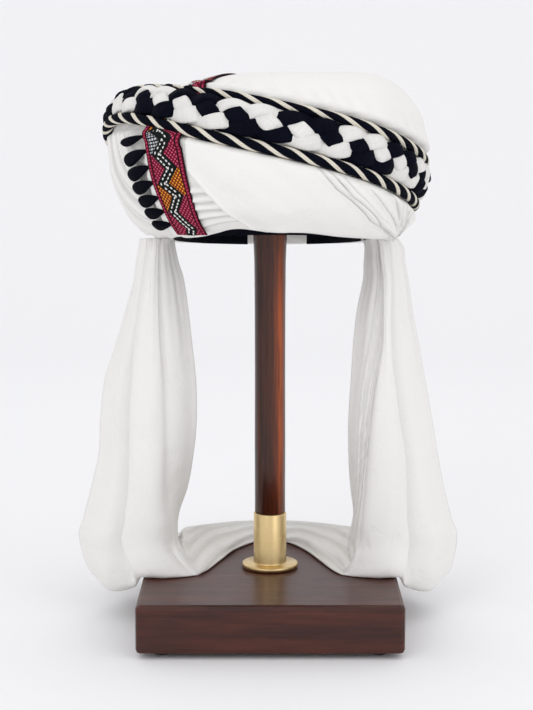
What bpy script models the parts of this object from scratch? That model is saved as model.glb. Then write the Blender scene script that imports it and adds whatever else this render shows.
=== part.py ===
"""A wound cotton turban on a turned wooden display stand. Metres, +Z up, the front towards -Y.

The origin is on the floor, on the axis of the pole.
"""

import math

import bmesh
import bpy
import numpy as np

# Gap kept between pieces that touch.
CLEARANCE = 0.0003

# Turban: outer width and depth, height of the rim above the floor and of the crown above the rim.
TURBAN_WIDTH = 0.272
TURBAN_DEPTH = 0.296
RIM_HEIGHT = 0.3273
CROWN_RISE = 0.1395
RIM_TILT = 0.0110  # the rim is this much higher in front and lower at the back
CROWN_WALL = 0.014  # cloth over the top of the head

# Hollow for the head.
HEAD_WIDTH = 0.161
HEAD_DEPTH = 0.200

# Plait: width, thickness, lobes along each edge, and the height of its middle line round the turban,
# as a tilt towards the front and the side, a twist of two turns and a wave of three.
PLAIT_WIDTH = 0.026
PLAIT_THICKNESS = 0.010
PLAIT_LOBES = 36
PLAIT_LOBE = 0.08  # how far each lobe swells, as a share of the width
PLAIT_RISE = 0.0700  # above the rim, before the tilt
PLAIT_TILT_FRONT = 0.0313
PLAIT_TILT_SIDE = -0.0282
PLAIT_TWIST_FRONT = -0.0046
PLAIT_TWIST_SIDE = -0.0053
PLAIT_WAVE = 0.0028
UPPER_ROPE_DIAMETER = 0.0075
LOWER_ROPE_DIAMETER = 0.0090
GROOVE_DEPTH = 0.0085  # how deep the plait and its ropes press into the cloth
BRAID_SLANT = 1.08  # room in the groove for the braid's slope round the turban
GROOVE_RAMP = 0.011  # width of the groove's slope on each side
OVER_BAND_FLAT = 0.68  # the plait and ropes stay fully raised this far from the band's middle line
OVER_BAND_RAMP = 0.40  # and come down over this length; both as shares of the band's width

# Embroidered band, laid over the crown.
BAND_WIDTH = 0.036
BAND_RIM_WIDTH = 0.029  # drawn in towards the rim, over this length from it
BAND_TAPER = 0.065
BAND_THICKNESS = 0.0014
BAND_EASE = 0.0016  # slack under the band where it dips below the plait
BAND_EASE_REACH = 3.2  # how far from the braid the slack ends, in widths of the groove's slope
BAND_END_ROOM = 0.003  # from each end of its route
BAND_STATIONS = 64

# Petals sewn along the band's left edge in front.
PETAL_COUNT = 7
PETAL_LENGTH = 0.0245  # of the first, and how much more each next one has
PETAL_GROWTH = 0.0018
PETAL_DROOP = 6.0  # degrees below square to the band
PETAL_WIDTH = 0.0088
PETAL_THICKNESS = 0.0024
PETAL_PITCH = 0.0126
PETAL_START = 0.0125  # first petal, up from the rim

# Broad outer sheet of cloth across the front, and the strip inside the mouth.
WRAP_THICKNESS = 0.0020
INNER_BAND_HEIGHT = 0.024
INNER_BAND_THICKNESS = 0.0015
INNER_BAND_RISE = 0.001  # above the rim
INNER_BAND_GAP = 0.054  # open at the back
INNER_BAND_TURN = 5.0  # degrees that the opening lies to the right of the back's middle

# Hanging loop of cloth: reach to each side, and the cloth's thickness.
LOOP_REACH = 0.167
LOOP_THICKNESS = 0.0020
LOOP_EDGE_ROOM = 0.010  # how far it stays level past the base's edge
LOOP_FOLD_DEPTH = 0.0035
LOOP_FOLDS = 2.5

# Stand.
BASE_WIDTH = 0.215
BASE_DEPTH = 0.236
BASE_THICKNESS = 0.040
BASE_ROUNDING = 0.0035
FOOT_DIAMETER = 0.016
FOOT_HEIGHT = 0.004
FOOT_INSET = 0.020
FLANGE_DIAMETER = 0.048
FLANGE_THICKNESS = 0.004
FERRULE_DIAMETER = 0.028
FERRULE_HEIGHT = 0.048
POLE_DIAMETER = 0.0255
REST_THICKNESS = 0.010  # of the disc under the crown, at its edge

# Outline of the turban: share of the crown's rise, share of the half width.
OUTLINE = (
    (0.000, 0.790),
    (0.035, 0.828),
    (0.110, 0.886),
    (0.217, 0.938),
    (0.361, 0.982),
    (0.500, 0.998),
    (0.612, 1.000),
    (0.718, 0.980),
    (0.800, 0.935),
    (0.875, 0.868),
    (0.930, 0.785),
    (0.968, 0.670),
    (0.990, 0.480),
    (1.000, 0.240),
    (1.002, 0.000),
)

# How far the crown sinks behind the upper rope: share of the half width, metres.
CROWN_SINK = (
    (-1.00, 0.0075),
    (-0.60, 0.0078),
    (-0.44, 0.0075),
    (-0.34, 0.0062),
    (-0.23, 0.0046),
    (-0.10, 0.0036),
    (0.05, 0.0032),
    (0.20, 0.0022),
    (0.40, 0.0008),
    (0.58, 0.0004),
    (0.70, 0.0014),
    (0.80, 0.0032),
    (0.90, 0.0042),
    (1.00, 0.0044),
)
CROWN_SINK_RAMP = 0.025  # from the rope to the full depth
FLANK_SHIFT = 0.0027  # how far both flanks lie to the left, outside this share of the half width
FLANK_START = 0.5
FLANK_RAMP = 0.45

# Outline of the head hollow: share of its height, share of its half width.
HOLLOW = (
    (0.000, 1.000),
    (0.120, 1.010),
    (0.350, 1.020),
    (0.600, 0.980),
    (0.780, 0.880),
    (0.900, 0.700),
    (0.970, 0.450),
    (1.000, 0.000),
)
HOLLOW_RINGS = (0.03, 0.18, 0.40, 0.60, 0.78, 0.87, 0.92, 0.96, 0.99)  # shares of its height
CROWN_ROWS = (0.10, 0.22, 0.35, 0.50, 0.66, 0.82, 0.94)  # shares of the way from the groove to the top
REST_RINGS = 3  # of the hollow's top rings, that the disc of the stand fits under

GROOVE_STEPS = np.linspace(0, 1, 5)  # places down the groove's slope where it bends
HUB = 0.46  # height, as a share of the rise, of the point that the outline is measured round

# Pleats pressed into the wound cloth: angle in degrees and share of the rise at one end and at the
# other, depth as a share of the crown's wall, and half width in degrees.
PLEATS = (
    ((-110, 0.08), (-62, 0.05), 0.16, 5.0),
    ((-116, 0.20), (-64, 0.14), 0.16, 5.0),
    ((-124, 0.34), (-66, 0.23), 0.16, 5.0),
    ((-132, 0.47), (-70, 0.33), 0.14, 5.0),
    ((120, 0.10), (176, 0.16), 0.16, 6.0),
    ((112, 0.28), (180, 0.34), 0.16, 6.0),
    ((118, 0.46), (196, 0.50), 0.14, 6.0),
    ((176, 0.10), (232, 0.20), 0.16, 6.0),
    ((184, 0.28), (238, 0.36), 0.16, 6.0),
    ((-150, 0.90), (20, 0.95), 0.10, 6.0),
    ((60, 0.93), (150, 0.90), 0.10, 6.0),
)

# Middle line of the embroidered band, from the front rim over the crown to the back rim: share of
# the half width, of the half depth and of the rise.
BAND_ROUTE = (
    (-0.437, -0.668, 0.00),
    (-0.520, -0.768, 0.19),
    (-0.575, -0.804, 0.40),
    (-0.605, -0.793, 0.64),
    (-0.560, -0.735, 0.82),
    (-0.450, -0.590, 0.94),
    (-0.370, -0.200, 0.99),
    (-0.310, 0.300, 0.99),
    (-0.270, 0.750, 0.92),
    (-0.250, 0.930, 0.68),
    (-0.230, 0.930, 0.35),
    (-0.190, 0.770, 0.00),
)

# Left and right edge of the front wrap, in degrees, at shares of the way from the rim to the rope.
WRAP_EDGES = (
    (0.00, -8.5, 68.0),
    (0.20, -15.5, 71.0),
    (0.42, -21.4, 74.5),
    (0.64, -24.6, 78.0),
    (1.00, -25.4, 83.0),
)
WRAP_RIM_ROOM = 0.06  # radians round the hub
WRAP_FOLD = 0.35  # depth of its folds, as a share of its thickness

# Left half of the hanging loop, from the rim down to the base and round behind the pole. Each row
# is one section with four points, from the inner edge over two folds to the outer edge. Columns:
# outward, as a share of LOOP_REACH; back, as a share of half the base's depth; height, as a share
# of the drop from the rim to the top of the base.
LOOP_SECTIONS = (
    ((0.495, 0.10, 0.999), (0.540, -0.08, 0.999), (0.595, -0.08, 0.999), (0.640, 0.06, 0.999)),
    ((0.460, 0.12, 0.900), (0.520, -0.12, 0.900), (0.600, -0.12, 0.900), (0.672, 0.06, 0.900)),
    ((0.412, 0.14, 0.815), (0.506, -0.18, 0.815), (0.615, -0.16, 0.815), (0.715, 0.08, 0.815)),
    ((0.382, 0.18, 0.650), (0.500, -0.23, 0.650), (0.650, -0.20, 0.650), (0.785, 0.10, 0.650)),
    ((0.372, 0.22, 0.455), (0.506, -0.26, 0.455), (0.680, -0.23, 0.455), (0.845, 0.12, 0.455)),
    ((0.395, 0.26, 0.270), (0.500, -0.29, 0.270), (0.690, -0.26, 0.270), (0.890, 0.14, 0.270)),
    ((0.440, 0.34, 0.110), (0.470, -0.30, 0.110), (0.712, -0.29, 0.110), (0.955, 0.16, 0.100)),
    ((0.405, 0.50, 0.070), (0.410, -0.22, 0.014), (0.715, -0.27, -0.030), (0.945, 0.14, -0.085)),
    ((0.330, 0.68, 0.062), (0.300, 0.08, 0.010), (0.640, 0.06, 0.012), (0.820, 0.34, -0.040)),
    ((0.240, 0.84, 0.055), (0.225, 0.42, 0.010), (0.420, 0.40, 0.016), (0.590, 0.60, 0.020)),
    ((0.120, 0.96, 0.048), (0.125, 0.62, 0.010), (0.220, 0.70, 0.016), (0.300, 0.82, 0.020)),
    ((0.000, 1.01, 0.045), (0.000, 0.69, 0.010), (0.000, 0.79, 0.020), (0.000, 0.90, 0.014)),
)

BASE_TOP = FOOT_HEIGHT + CLEARANCE + BASE_THICKNESS
CROWN_TOP = RIM_HEIGHT + CROWN_RISE
HALF_WIDTH = TURBAN_WIDTH / 2
HALF_DEPTH = TURBAN_DEPTH / 2


def clear_scene():
    for old in list(bpy.data.objects):
        bpy.data.objects.remove(old)


def material(name, colour, roughness, metallic=0.0):
    made = bpy.data.materials.new(name)
    made.use_nodes = True
    shader = made.node_tree.nodes["Principled BSDF"]
    shader.inputs["Base Color"].default_value = (*colour, 1.0)
    shader.inputs["Roughness"].default_value = roughness
    shader.inputs["Metallic"].default_value = metallic
    made.diffuse_color = (*colour, 1.0)
    return made


def spline(rows, count):
    """Points evenly spaced in parameter along the Catmull-Rom curve through the rows."""
    rows = np.asarray(rows, float)
    padded = np.concatenate([[2 * rows[0] - rows[1]], rows, [2 * rows[-1] - rows[-2]]])
    place = np.linspace(0, len(rows) - 1, count)
    first = np.minimum(place.astype(int), len(rows) - 2)
    t = (place - first).reshape((-1,) + (1,) * (rows.ndim - 1))
    a, b, c, d = (padded[first + k] for k in range(4))
    return 0.5 * (
        2 * b + (c - a) * t + (2 * a - 5 * b + 4 * c - d) * t**2 + (3 * b - a - 3 * c + d) * t**3
    )


def unit(vectors):
    return vectors / np.linalg.norm(vectors, axis=-1, keepdims=True)


# Turban surfaces. theta runs round the turban from the front towards +X, phi up from the hub.

OUTLINE_CURVE = spline(OUTLINE, 240)
OUTLINE_PHI = np.arctan2(OUTLINE_CURVE[:, 0] - HUB, OUTLINE_CURVE[:, 1])
OUTLINE_RHO = np.hypot(OUTLINE_CURVE[:, 0] - HUB, OUTLINE_CURVE[:, 1])
RIM_PHI = float(OUTLINE_PHI[0])
OUTLINE_STEPS = np.diff(OUTLINE_CURVE, axis=0) * [CROWN_RISE, HALF_WIDTH]
OUTLINE_LENGTH = np.concatenate([[0], np.cumsum(np.linalg.norm(OUTLINE_STEPS, axis=1))])


SINK_CURVE = spline(CROWN_SINK, 120)


def rim_at(theta):
    return RIM_HEIGHT + RIM_TILT * np.cos(theta)


def flank_shift(across):
    """How far the turban lies to the left at this share of the half width."""
    return FLANK_SHIFT * smooth((np.abs(across) - FLANK_START) / FLANK_RAMP)


def outer(theta, phi):
    """Point of the turban's outside."""
    rho = np.interp(phi, OUTLINE_PHI, OUTLINE_RHO)
    radius = rho * np.cos(phi)
    rise = HUB + rho * np.sin(phi)
    rim = rim_at(theta)
    across = radius * np.sin(theta)
    return np.stack(
        [
            HALF_WIDTH * across - flank_shift(across),
            -HALF_DEPTH * radius * np.cos(theta),
            rim + (CROWN_TOP - rim) * rise,
        ],
        axis=-1,
    )


def coordinates(points):
    """theta, phi and the share of the rise of points near the outside."""
    across, along = points[..., 0] / HALF_WIDTH, -points[..., 1] / HALF_DEPTH
    across = across + flank_shift(across) / HALF_WIDTH
    theta = np.arctan2(across, along)
    rim = rim_at(theta)
    rise = (points[..., 2] - rim) / (CROWN_TOP - rim)
    return theta, np.arctan2(rise - HUB, np.hypot(across, along)), rise


def braid_height(theta):
    """Height of the plait's middle line."""
    return (
        RIM_HEIGHT
        + PLAIT_RISE
        + PLAIT_TILT_FRONT * np.cos(theta)
        + PLAIT_TILT_SIDE * np.sin(theta)
        + PLAIT_TWIST_FRONT * np.cos(2 * theta)
        + PLAIT_TWIST_SIDE * np.sin(2 * theta)
        + PLAIT_WAVE * np.sin(3 * theta)
    )


def braid_length(theta):
    """Length of the outline from the rim up to the plait's middle line."""
    rim = rim_at(theta)
    rise = (braid_height(theta) - rim) / (CROWN_TOP - rim)
    return np.interp(rise, OUTLINE_CURVE[:, 0], OUTLINE_LENGTH)


def plait_edge():
    """From the plait's middle line to the ropes beside it."""
    return PLAIT_WIDTH / 2 * (1 + PLAIT_LOBE) + CLEARANCE


def groove_half(rope_diameter):
    """From the plait's middle line to the foot of the groove's slope, straight up the turban."""
    return (plait_edge() + rope_diameter) * BRAID_SLANT


def smooth(share):
    share = np.clip(share, 0, 1)
    return share * share * (3 - 2 * share)


def beyond_braid(theta, phi):
    """How far from the braid's edges, as a share of the width of the groove's slope."""
    away = np.interp(phi, OUTLINE_PHI, OUTLINE_LENGTH) - braid_length(theta)
    half = np.where(away > 0, groove_half(UPPER_ROPE_DIAMETER), groove_half(LOWER_ROPE_DIAMETER))
    return (np.abs(away) - half) / GROOVE_RAMP


def groove(theta, phi):
    """How deep the braid presses in there, with a slope on each side, and how far the crown sinks."""
    beyond = beyond_braid(theta, phi)
    above = np.interp(phi, OUTLINE_PHI, OUTLINE_LENGTH) > braid_length(theta)
    across = np.interp(phi, OUTLINE_PHI, OUTLINE_RHO) * np.cos(phi) * np.sin(theta)
    sink = np.interp(across, SINK_CURVE[:, 0], SINK_CURVE[:, 1])
    sink = sink * above * smooth(beyond * GROOVE_RAMP / CROWN_SINK_RAMP)
    return GROOVE_DEPTH * np.interp(1 - beyond, GROOVE_STEPS, smooth(GROOVE_STEPS)) + sink


def lifted(points, lift):
    """The points dropped on the outside along rays from the hub, then raised by lift."""
    theta, phi, _ = coordinates(points)
    phi = np.clip(phi, RIM_PHI, math.radians(89.0))
    step = 1e-3
    across = outer(theta + step, phi) - outer(theta - step, phi)
    up = outer(theta, phi + step) - outer(theta, phi - step)
    normal = unit(np.cross(across, up))
    height = np.asarray(lift) - groove(theta, phi)
    return outer(theta, phi) + normal * height[..., None]


def at_height(theta, height):
    rim = rim_at(theta)
    rise = (height - rim) / (CROWN_TOP - rim)
    return outer(theta, np.interp(rise, OUTLINE_CURVE[:, 0], OUTLINE_PHI))


def hollow(theta, rise):
    """Point of the head hollow's wall at this share of its height."""
    radius = np.interp(rise, HOLLOW_CURVE[:, 0], HOLLOW_CURVE[:, 1])
    rim = rim_at(theta)
    return np.stack(
        [
            HEAD_WIDTH / 2 * radius * np.sin(theta),
            -HEAD_DEPTH / 2 * radius * np.cos(theta),
            rim + (CROWN_TOP - CROWN_WALL - rim) * rise,
        ],
        axis=-1,
    )


HOLLOW_CURVE = spline(HOLLOW, 120)


def over_band(points):
    """How much a piece rises there to pass over the band."""
    line, _ = band_line()
    far = np.linalg.norm(points[..., None, :] - line[::8], axis=-1).min(axis=-1)
    beyond = (far / BAND_WIDTH - OVER_BAND_FLAT) / OVER_BAND_RAMP
    return (BAND_THICKNESS + BAND_EASE + 3 * CLEARANCE) * smooth(1 - beyond)


def pleat_depth(theta, rise):
    """How deep the pleats press into the outside there, in metres."""
    depth = np.zeros(np.broadcast(theta, rise).shape)
    for (start, low), (end, high), share, half_width in PLEATS:
        middle = math.radians((start + end) / 2)
        turn = (theta - middle + math.pi) % (2 * math.pi) - math.pi
        along = turn / math.radians((end - start) / 2)
        centre = low + (high - low) * (along + 1) / 2
        across = (rise - centre) * CROWN_RISE / HALF_WIDTH / math.radians(half_width)
        fade = np.clip(1.2 - np.abs(along), 0, 0.3) / 0.3
        depth += share * CROWN_WALL * fade * np.exp(-across * across)
    return depth


# Meshes


def new_object(name, mesh_data, made_of, smooth_angle=40):
    mesh = bpy.data.meshes.new(name)
    mesh_data.to_mesh(mesh)
    mesh_data.free()
    mesh.materials.append(made_of)
    mesh.shade_smooth()
    mesh.set_sharp_from_angle(angle=math.radians(smooth_angle))
    obj = bpy.data.objects.new(name, mesh)
    bpy.context.scene.collection.objects.link(obj)
    return obj


def quads(bm, grid, wrap_rows=False, wrap_columns=False):
    rows, columns = len(grid), len(grid[0])
    for i in range(rows if wrap_rows else rows - 1):
        for j in range(columns if wrap_columns else columns - 1):
            corners = (
                grid[i][j],
                grid[i][(j + 1) % columns],
                grid[(i + 1) % rows][(j + 1) % columns],
                grid[(i + 1) % rows][j],
            )
            bm.faces.new(corners)


def vertex_grid(bm, points):
    return [[bm.verts.new(point) for point in row] for row in points]


def ring_body(name, points, made_of):
    """A closed hoop: sections in rows, and the points round each section in columns."""
    bm = bmesh.new()
    quads(bm, vertex_grid(bm, points), wrap_rows=True, wrap_columns=True)
    bmesh.ops.recalc_face_normals(bm, faces=bm.faces)
    return new_object(name, bm, made_of)


def turned_body(name, points, made_of, smooth_angle=40):
    """Closed rings in rows, with a fan of triangles over the first ring and the last."""
    bm = bmesh.new()
    grid = vertex_grid(bm, points)
    quads(bm, grid, wrap_columns=True)
    for ring in (grid[0], grid[-1]):
        centre = bm.verts.new(sum((v.co for v in ring), ring[0].co * 0) / len(ring))
        for first, second in zip(ring, ring[1:] + ring[:1]):
            bm.faces.new((first, second, centre))
    bmesh.ops.recalc_face_normals(bm, faces=bm.faces)
    return new_object(name, bm, made_of, smooth_angle)


def slab_body(name, lower, upper, made_of):
    """A sheet between two grids of points, closed round its edges."""
    bm = bmesh.new()
    below, above = vertex_grid(bm, lower), vertex_grid(bm, upper)
    quads(bm, below)
    quads(bm, above)
    columns_below, columns_above = list(zip(*below)), list(zip(*above))
    quads(bm, [below[0], above[0]])
    quads(bm, [below[-1], above[-1]])
    quads(bm, [columns_below[0], columns_above[0]])
    quads(bm, [columns_below[-1], columns_above[-1]])
    bmesh.ops.recalc_face_normals(bm, faces=bm.faces)
    return new_object(name, bm, made_of)


def lathe(name, profile, made_of, sides=24, smooth_angle=40):
    """A round body from (radius, height) pairs, bottom to top."""
    turn = np.linspace(0, 2 * math.pi, sides, endpoint=False)
    radius, height = np.array(profile).T
    points = np.stack(
        [
            radius[:, None] * np.cos(turn),
            radius[:, None] * np.sin(turn),
            height[:, None] + 0 * turn,
        ],
        axis=-1,
    )
    return turned_body(name, points, made_of, smooth_angle)


# Turban


def outside_rows(theta):
    """Lengths up the outline for the rows of the turban's mesh, which follow the groove."""
    middle = braid_length(theta)
    low = middle - groove_half(LOWER_ROPE_DIAMETER)
    high = middle + groove_half(UPPER_ROPE_DIAMETER)
    foot = np.maximum(low - GROOVE_RAMP, 0.2 * low)
    rows = [foot * share for share in (0.08, 0.36, 0.68)]
    rows += [foot + (low - foot) * step for step in GROOVE_STEPS]
    rows += [middle]
    rows += [high + GROOVE_RAMP * step for step in GROOVE_STEPS]
    over = high + GROOVE_RAMP
    rows += [over + (OUTLINE_LENGTH[-1] - over) * share for share in CROWN_ROWS]
    return np.array(rows)


def make_turban_body(cloth):
    turn = np.linspace(0, 2 * math.pi, 48, endpoint=False)
    phi = np.interp(outside_rows(turn)[::-1], OUTLINE_LENGTH, OUTLINE_PHI)
    theta = turn + 0 * phi
    outside = outer(theta, phi)
    _, _, rise = coordinates(outside)
    outside = lifted(outside, -pleat_depth(theta, rise))
    inside = hollow(*np.meshgrid(turn, HOLLOW_RINGS))
    under_outer = outer(turn, RIM_PHI + 0 * turn)
    under_inner = hollow(turn, 0 * turn)
    edge = [0.12, 0.88]
    under = [under_outer + (under_inner - under_outer) * share for share in edge]
    return turned_body("turban_body", np.concatenate([outside, under, inside]), cloth)


def braid_frame(stations):
    """Middle line of the plait round the turban, and the direction across it, upwards."""
    theta = np.linspace(-math.pi, math.pi, stations, endpoint=False)
    line = at_height(theta, braid_height(theta))
    tangent = unit(np.roll(line, -1, axis=0) - np.roll(line, 1, axis=0))
    normal = unit(lifted(line, 0.01) - lifted(line, 0.0))
    return theta, line, np.cross(normal, tangent)


def make_hoop(name, stations, sides, offset, half_width, half_height, made_of, lobe=0.0):
    """A hoop on the turban: offset is from the plait's middle line, lobe the swell at its edges."""
    theta, line, across = braid_frame(stations)
    turn = np.linspace(0, 2 * math.pi, sides, endpoint=False) + (math.pi / sides) * (sides % 4 == 0)
    swell = 1 + lobe * np.cos(theta[:, None] * PLAIT_LOBES + (np.cos(turn) < 0) * math.pi)
    sideways = offset + half_width * swell * np.cos(turn)
    raised = CLEARANCE + half_height * (1 + np.sin(turn) / np.sin(turn).max())
    points = line[:, None] + across[:, None] * sideways[..., None]
    return ring_body(name, lifted(points, raised + over_band(points)), made_of)


def lower_rope_edge():
    return -(plait_edge() + LOWER_ROPE_DIAMETER)


def make_braid(plait_cloth, cord):
    make_hoop("plait", 3 * PLAIT_LOBES, 8, 0.0, PLAIT_WIDTH / 2, PLAIT_THICKNESS / 2, plait_cloth, PLAIT_LOBE)
    for name, side, diameter in (
        ("upper_rope", 1, UPPER_ROPE_DIAMETER),
        ("lower_rope", -1, LOWER_ROPE_DIAMETER),
    ):
        offset = side * (plait_edge() + diameter / 2)
        make_hoop(name, 90, 6, offset, diameter / 2, diameter / 2, cord)


def band_line():
    """Middle line of the band over the crown, from the front rim to the back rim, and its length."""
    across, along, rise = spline(BAND_ROUTE, 600).T
    rim = rim_at(np.arctan2(across, -along))
    height = rim + (CROWN_TOP - rim) * rise
    points = lifted(np.stack([HALF_WIDTH * across, HALF_DEPTH * along, height], axis=-1), 0.0)
    length = np.concatenate([[0], np.cumsum(np.linalg.norm(np.diff(points, axis=0), axis=1))])
    return points, length


def along_band(distance):
    points, length = band_line()
    return np.stack([np.interp(distance, length, points[:, k]) for k in range(3)], axis=-1)


def band_frame(distance):
    """Middle points of the band, its running direction and the direction to its left."""
    middle = along_band(distance)
    onward = unit(along_band(distance + 0.002) - along_band(distance - 0.002))
    normal = unit(lifted(middle, 0.01) - lifted(middle, 0.0))
    return middle, onward, unit(np.cross(normal, onward))


def band_width(distance):
    return BAND_RIM_WIDTH + (BAND_WIDTH - BAND_RIM_WIDTH) * smooth(distance / BAND_TAPER)


def make_band(embroidery):
    # Stations lie closer where the band bends more.
    _, length = band_line()
    fine = np.linspace(BAND_END_ROOM, length[-1] - BAND_END_ROOM, 400)
    _, onward, _ = band_frame(fine)
    turned = np.linalg.norm(np.diff(onward, axis=0), axis=1)
    measure = np.concatenate([[0], np.cumsum(turned / 0.12 + np.diff(fine) / 0.016)])
    distance = np.interp(np.linspace(0, measure[-1], BAND_STATIONS), measure, fine)
    middle, _, left = band_frame(distance)
    across = np.linspace(-0.5, 0.5, 5) * band_width(distance)[:, None]
    points = middle[:, None] + left[:, None] * across[..., None]
    theta, phi, _ = coordinates(points)
    lift = CLEARANCE + BAND_EASE * smooth(2 * (BAND_EASE_REACH - beyond_braid(theta, phi)))
    lower = lifted(points, lift)
    upper = lifted(points, lift + BAND_THICKNESS)
    slab_body("embroidered_band", lower, upper, embroidery)


def make_petals(felt):
    share = np.array([0.0, 0.28, 0.62, 0.88, 1.0])
    half_width = PETAL_WIDTH / 2 * np.array([0.16, 0.66, 1.0, 0.76, 0.30])
    across = np.linspace(-1, 1, 4)
    for index in range(PETAL_COUNT):
        place = np.array([PETAL_START + PETAL_PITCH * index])
        middle, onward, left = (row[0] for row in band_frame(place))
        root = middle + left * (band_width(place[0]) / 2 + 2 * CLEARANCE)
        droop = math.radians(PETAL_DROOP)
        down_left = left * math.cos(droop) - onward * math.sin(droop)
        square = onward * math.cos(droop) + left * math.sin(droop)
        away = down_left * (share * (PETAL_LENGTH + PETAL_GROWTH * index))[:, None]
        points = root + away[:, None] + square * (half_width[:, None] * across)[..., None]
        dome = (1 - 0.8 * across**2) * np.minimum(1, 0.35 + half_width / PETAL_WIDTH * 2)[:, None]
        lower = lifted(points, 2 * CLEARANCE + 0 * dome)
        upper = lifted(points, 2 * CLEARANCE + PETAL_THICKNESS * dome)
        slab_body(f"petal_{index + 1}", lower, upper, felt)


def make_front_wrap(cloth):
    """A sheet from beside the band to the gather at the right, from the rim to the lower rope."""
    rows, columns = 9, 20
    top_theta, line, across = braid_frame(720)
    under_rope = line + across * (lower_rope_edge() - GROOVE_RAMP)
    up = np.linspace(0, 1, rows)[:, None]
    along = np.linspace(0, 1, columns)
    height, left, right = np.array(WRAP_EDGES).T
    start = np.interp(up, height, np.radians(left))
    end = np.interp(up, height, np.radians(right))
    theta = start + (end - start) * along
    high = np.stack([np.interp(theta, top_theta, under_rope[:, k]) for k in range(3)], axis=-1)
    low = outer(theta, RIM_PHI + WRAP_RIM_ROOM + 0 * theta)
    points = low + (high - low) * up[..., None]
    fold = WRAP_FOLD * np.cos(2 * math.pi * (2.2 * up + 1.6 * along)) * np.sin(math.pi * along)
    lower = lifted(points, 2 * CLEARANCE + 0 * fold)
    upper = lifted(points, 2 * CLEARANCE + WRAP_THICKNESS * (1 + fold))
    slab_body("front_wrap", lower, upper, cloth)


def make_inner_band(cloth):
    half_gap = math.asin(INNER_BAND_GAP / HEAD_WIDTH)
    theta = np.linspace(-math.pi + half_gap, math.pi - half_gap, 36) - math.radians(INNER_BAND_TURN)
    height = np.linspace(INNER_BAND_RISE, INNER_BAND_RISE + INNER_BAND_HEIGHT, 2)
    theta, height = np.meshgrid(theta, height)
    wall = hollow(theta, height / (CROWN_RISE - CROWN_WALL))
    inward = -unit(wall * [1, 1, 0])
    slab_body(
        "inner_band",
        wall + inward * (CLEARANCE * 2),
        wall + inward * (CLEARANCE * 2 + INNER_BAND_THICKNESS),
        cloth,
    )


def loop_points(stations, columns):
    """Middle surface of the hanging loop, left half then right half, inner edge first."""
    share = np.array(LOOP_SECTIONS)
    scale = np.array([-LOOP_REACH, BASE_DEPTH / 2, RIM_HEIGHT - BASE_TOP])
    left = spline(share * scale, stations)
    left = spline(left.transpose(1, 0, 2), columns).transpose(1, 0, 2)
    left[..., 2] += BASE_TOP
    right = left[-2::-1] * [-1, 1, 1]
    return np.concatenate([left, right])


def make_hanging_loop(cloth):
    points = loop_points(23, 11)
    half = LOOP_THICKNESS / 2
    # The cloth lies on the base, and clears its edges before it hangs lower.
    outside = np.maximum(
        np.abs(points[..., 0]) - BASE_WIDTH / 2, np.abs(points[..., 1]) - BASE_DEPTH / 2
    )
    lowest = BASE_TOP + half + 3 * CLEARANCE
    support = lowest - 1.6 * np.maximum(outside - LOOP_EDGE_ROOM, 0)
    points[..., 2] = np.maximum(points[..., 2], support)
    theta, _, _ = coordinates(points)
    highest = rim_at(theta) - CLEARANCE
    points[..., 2] = np.minimum(points[..., 2], highest)
    down = np.gradient(points, axis=0)
    across = np.gradient(points, axis=1)
    normal = unit(np.cross(down, across))
    down_share = np.linspace(0, 1, len(points))[:, None]
    across_share = np.linspace(0, 1, points.shape[1])
    free = smooth(np.sin(math.pi * down_share) * 8) * smooth((points[..., 2] - BASE_TOP) / 0.06)
    points = points + normal * (
        LOOP_FOLD_DEPTH * free * np.cos(2 * math.pi * LOOP_FOLDS * across_share)
    )[..., None]
    normal = normal * half
    slab_body("hanging_loop", points - normal, points + normal, cloth)


# Stand


def make_stand(wood, dark_wood, brass, rubber):
    bottom = FOOT_HEIGHT + CLEARANCE
    bm = bmesh.new()
    bmesh.ops.create_cube(bm, size=1.0)
    bmesh.ops.scale(bm, vec=(BASE_WIDTH, BASE_DEPTH, BASE_THICKNESS), verts=bm.verts)
    bmesh.ops.translate(bm, vec=(0, 0, bottom + BASE_THICKNESS / 2), verts=bm.verts)
    bmesh.ops.bevel(
        bm, geom=bm.edges, offset=BASE_ROUNDING, segments=2, profile=0.5, affect="EDGES"
    )
    new_object("stand_base", bm, wood)

    for index, (side, end) in enumerate(((-1, -1), (1, -1), (1, 1), (-1, 1))):
        radius = FOOT_DIAMETER / 2
        profile = [(radius * 0.9, 0), (radius, 0.25 * FOOT_HEIGHT), (radius, FOOT_HEIGHT)]
        foot = lathe(f"foot_{index + 1}", profile, rubber, sides=12)
        foot.location = (
            side * (BASE_WIDTH / 2 - FOOT_INSET),
            end * (BASE_DEPTH / 2 - FOOT_INSET),
            0,
        )

    seat = BASE_TOP + CLEARANCE
    flange = FLANGE_DIAMETER / 2
    ferrule = FERRULE_DIAMETER / 2
    lathe(
        "stand_ferrule",
        [
            (flange - 0.0006, seat),
            (flange, seat + 0.0006),
            (flange, seat + FLANGE_THICKNESS - 0.0008),
            (flange - 0.0008, seat + FLANGE_THICKNESS),
            (ferrule, seat + FLANGE_THICKNESS),
            (ferrule, seat + FERRULE_HEIGHT - 0.0004),
            (ferrule - 0.0004, seat + FERRULE_HEIGHT),
        ],
        brass,
    )

    # The disc follows the hollow's top rings, read where the hollow is narrowest.
    rings = hollow(np.pi / 2, np.array(HOLLOW_RINGS[-REST_RINGS:]))[:, [0, 2]]
    rings[:, 1] -= 2 * CLEARANCE
    edge_radius, edge_height = rings[0]
    rest_foot = edge_height - REST_THICKNESS
    pole = POLE_DIAMETER / 2
    lathe(
        "stand_pole",
        [(pole, seat + FERRULE_HEIGHT + CLEARANCE), (pole, rest_foot - CLEARANCE)],
        dark_wood,
    )
    lathe(
        "crown_rest",
        [(1.4 * pole, rest_foot), (edge_radius, edge_height - REST_THICKNESS / 2), *rings],
        dark_wood,
    )


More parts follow.
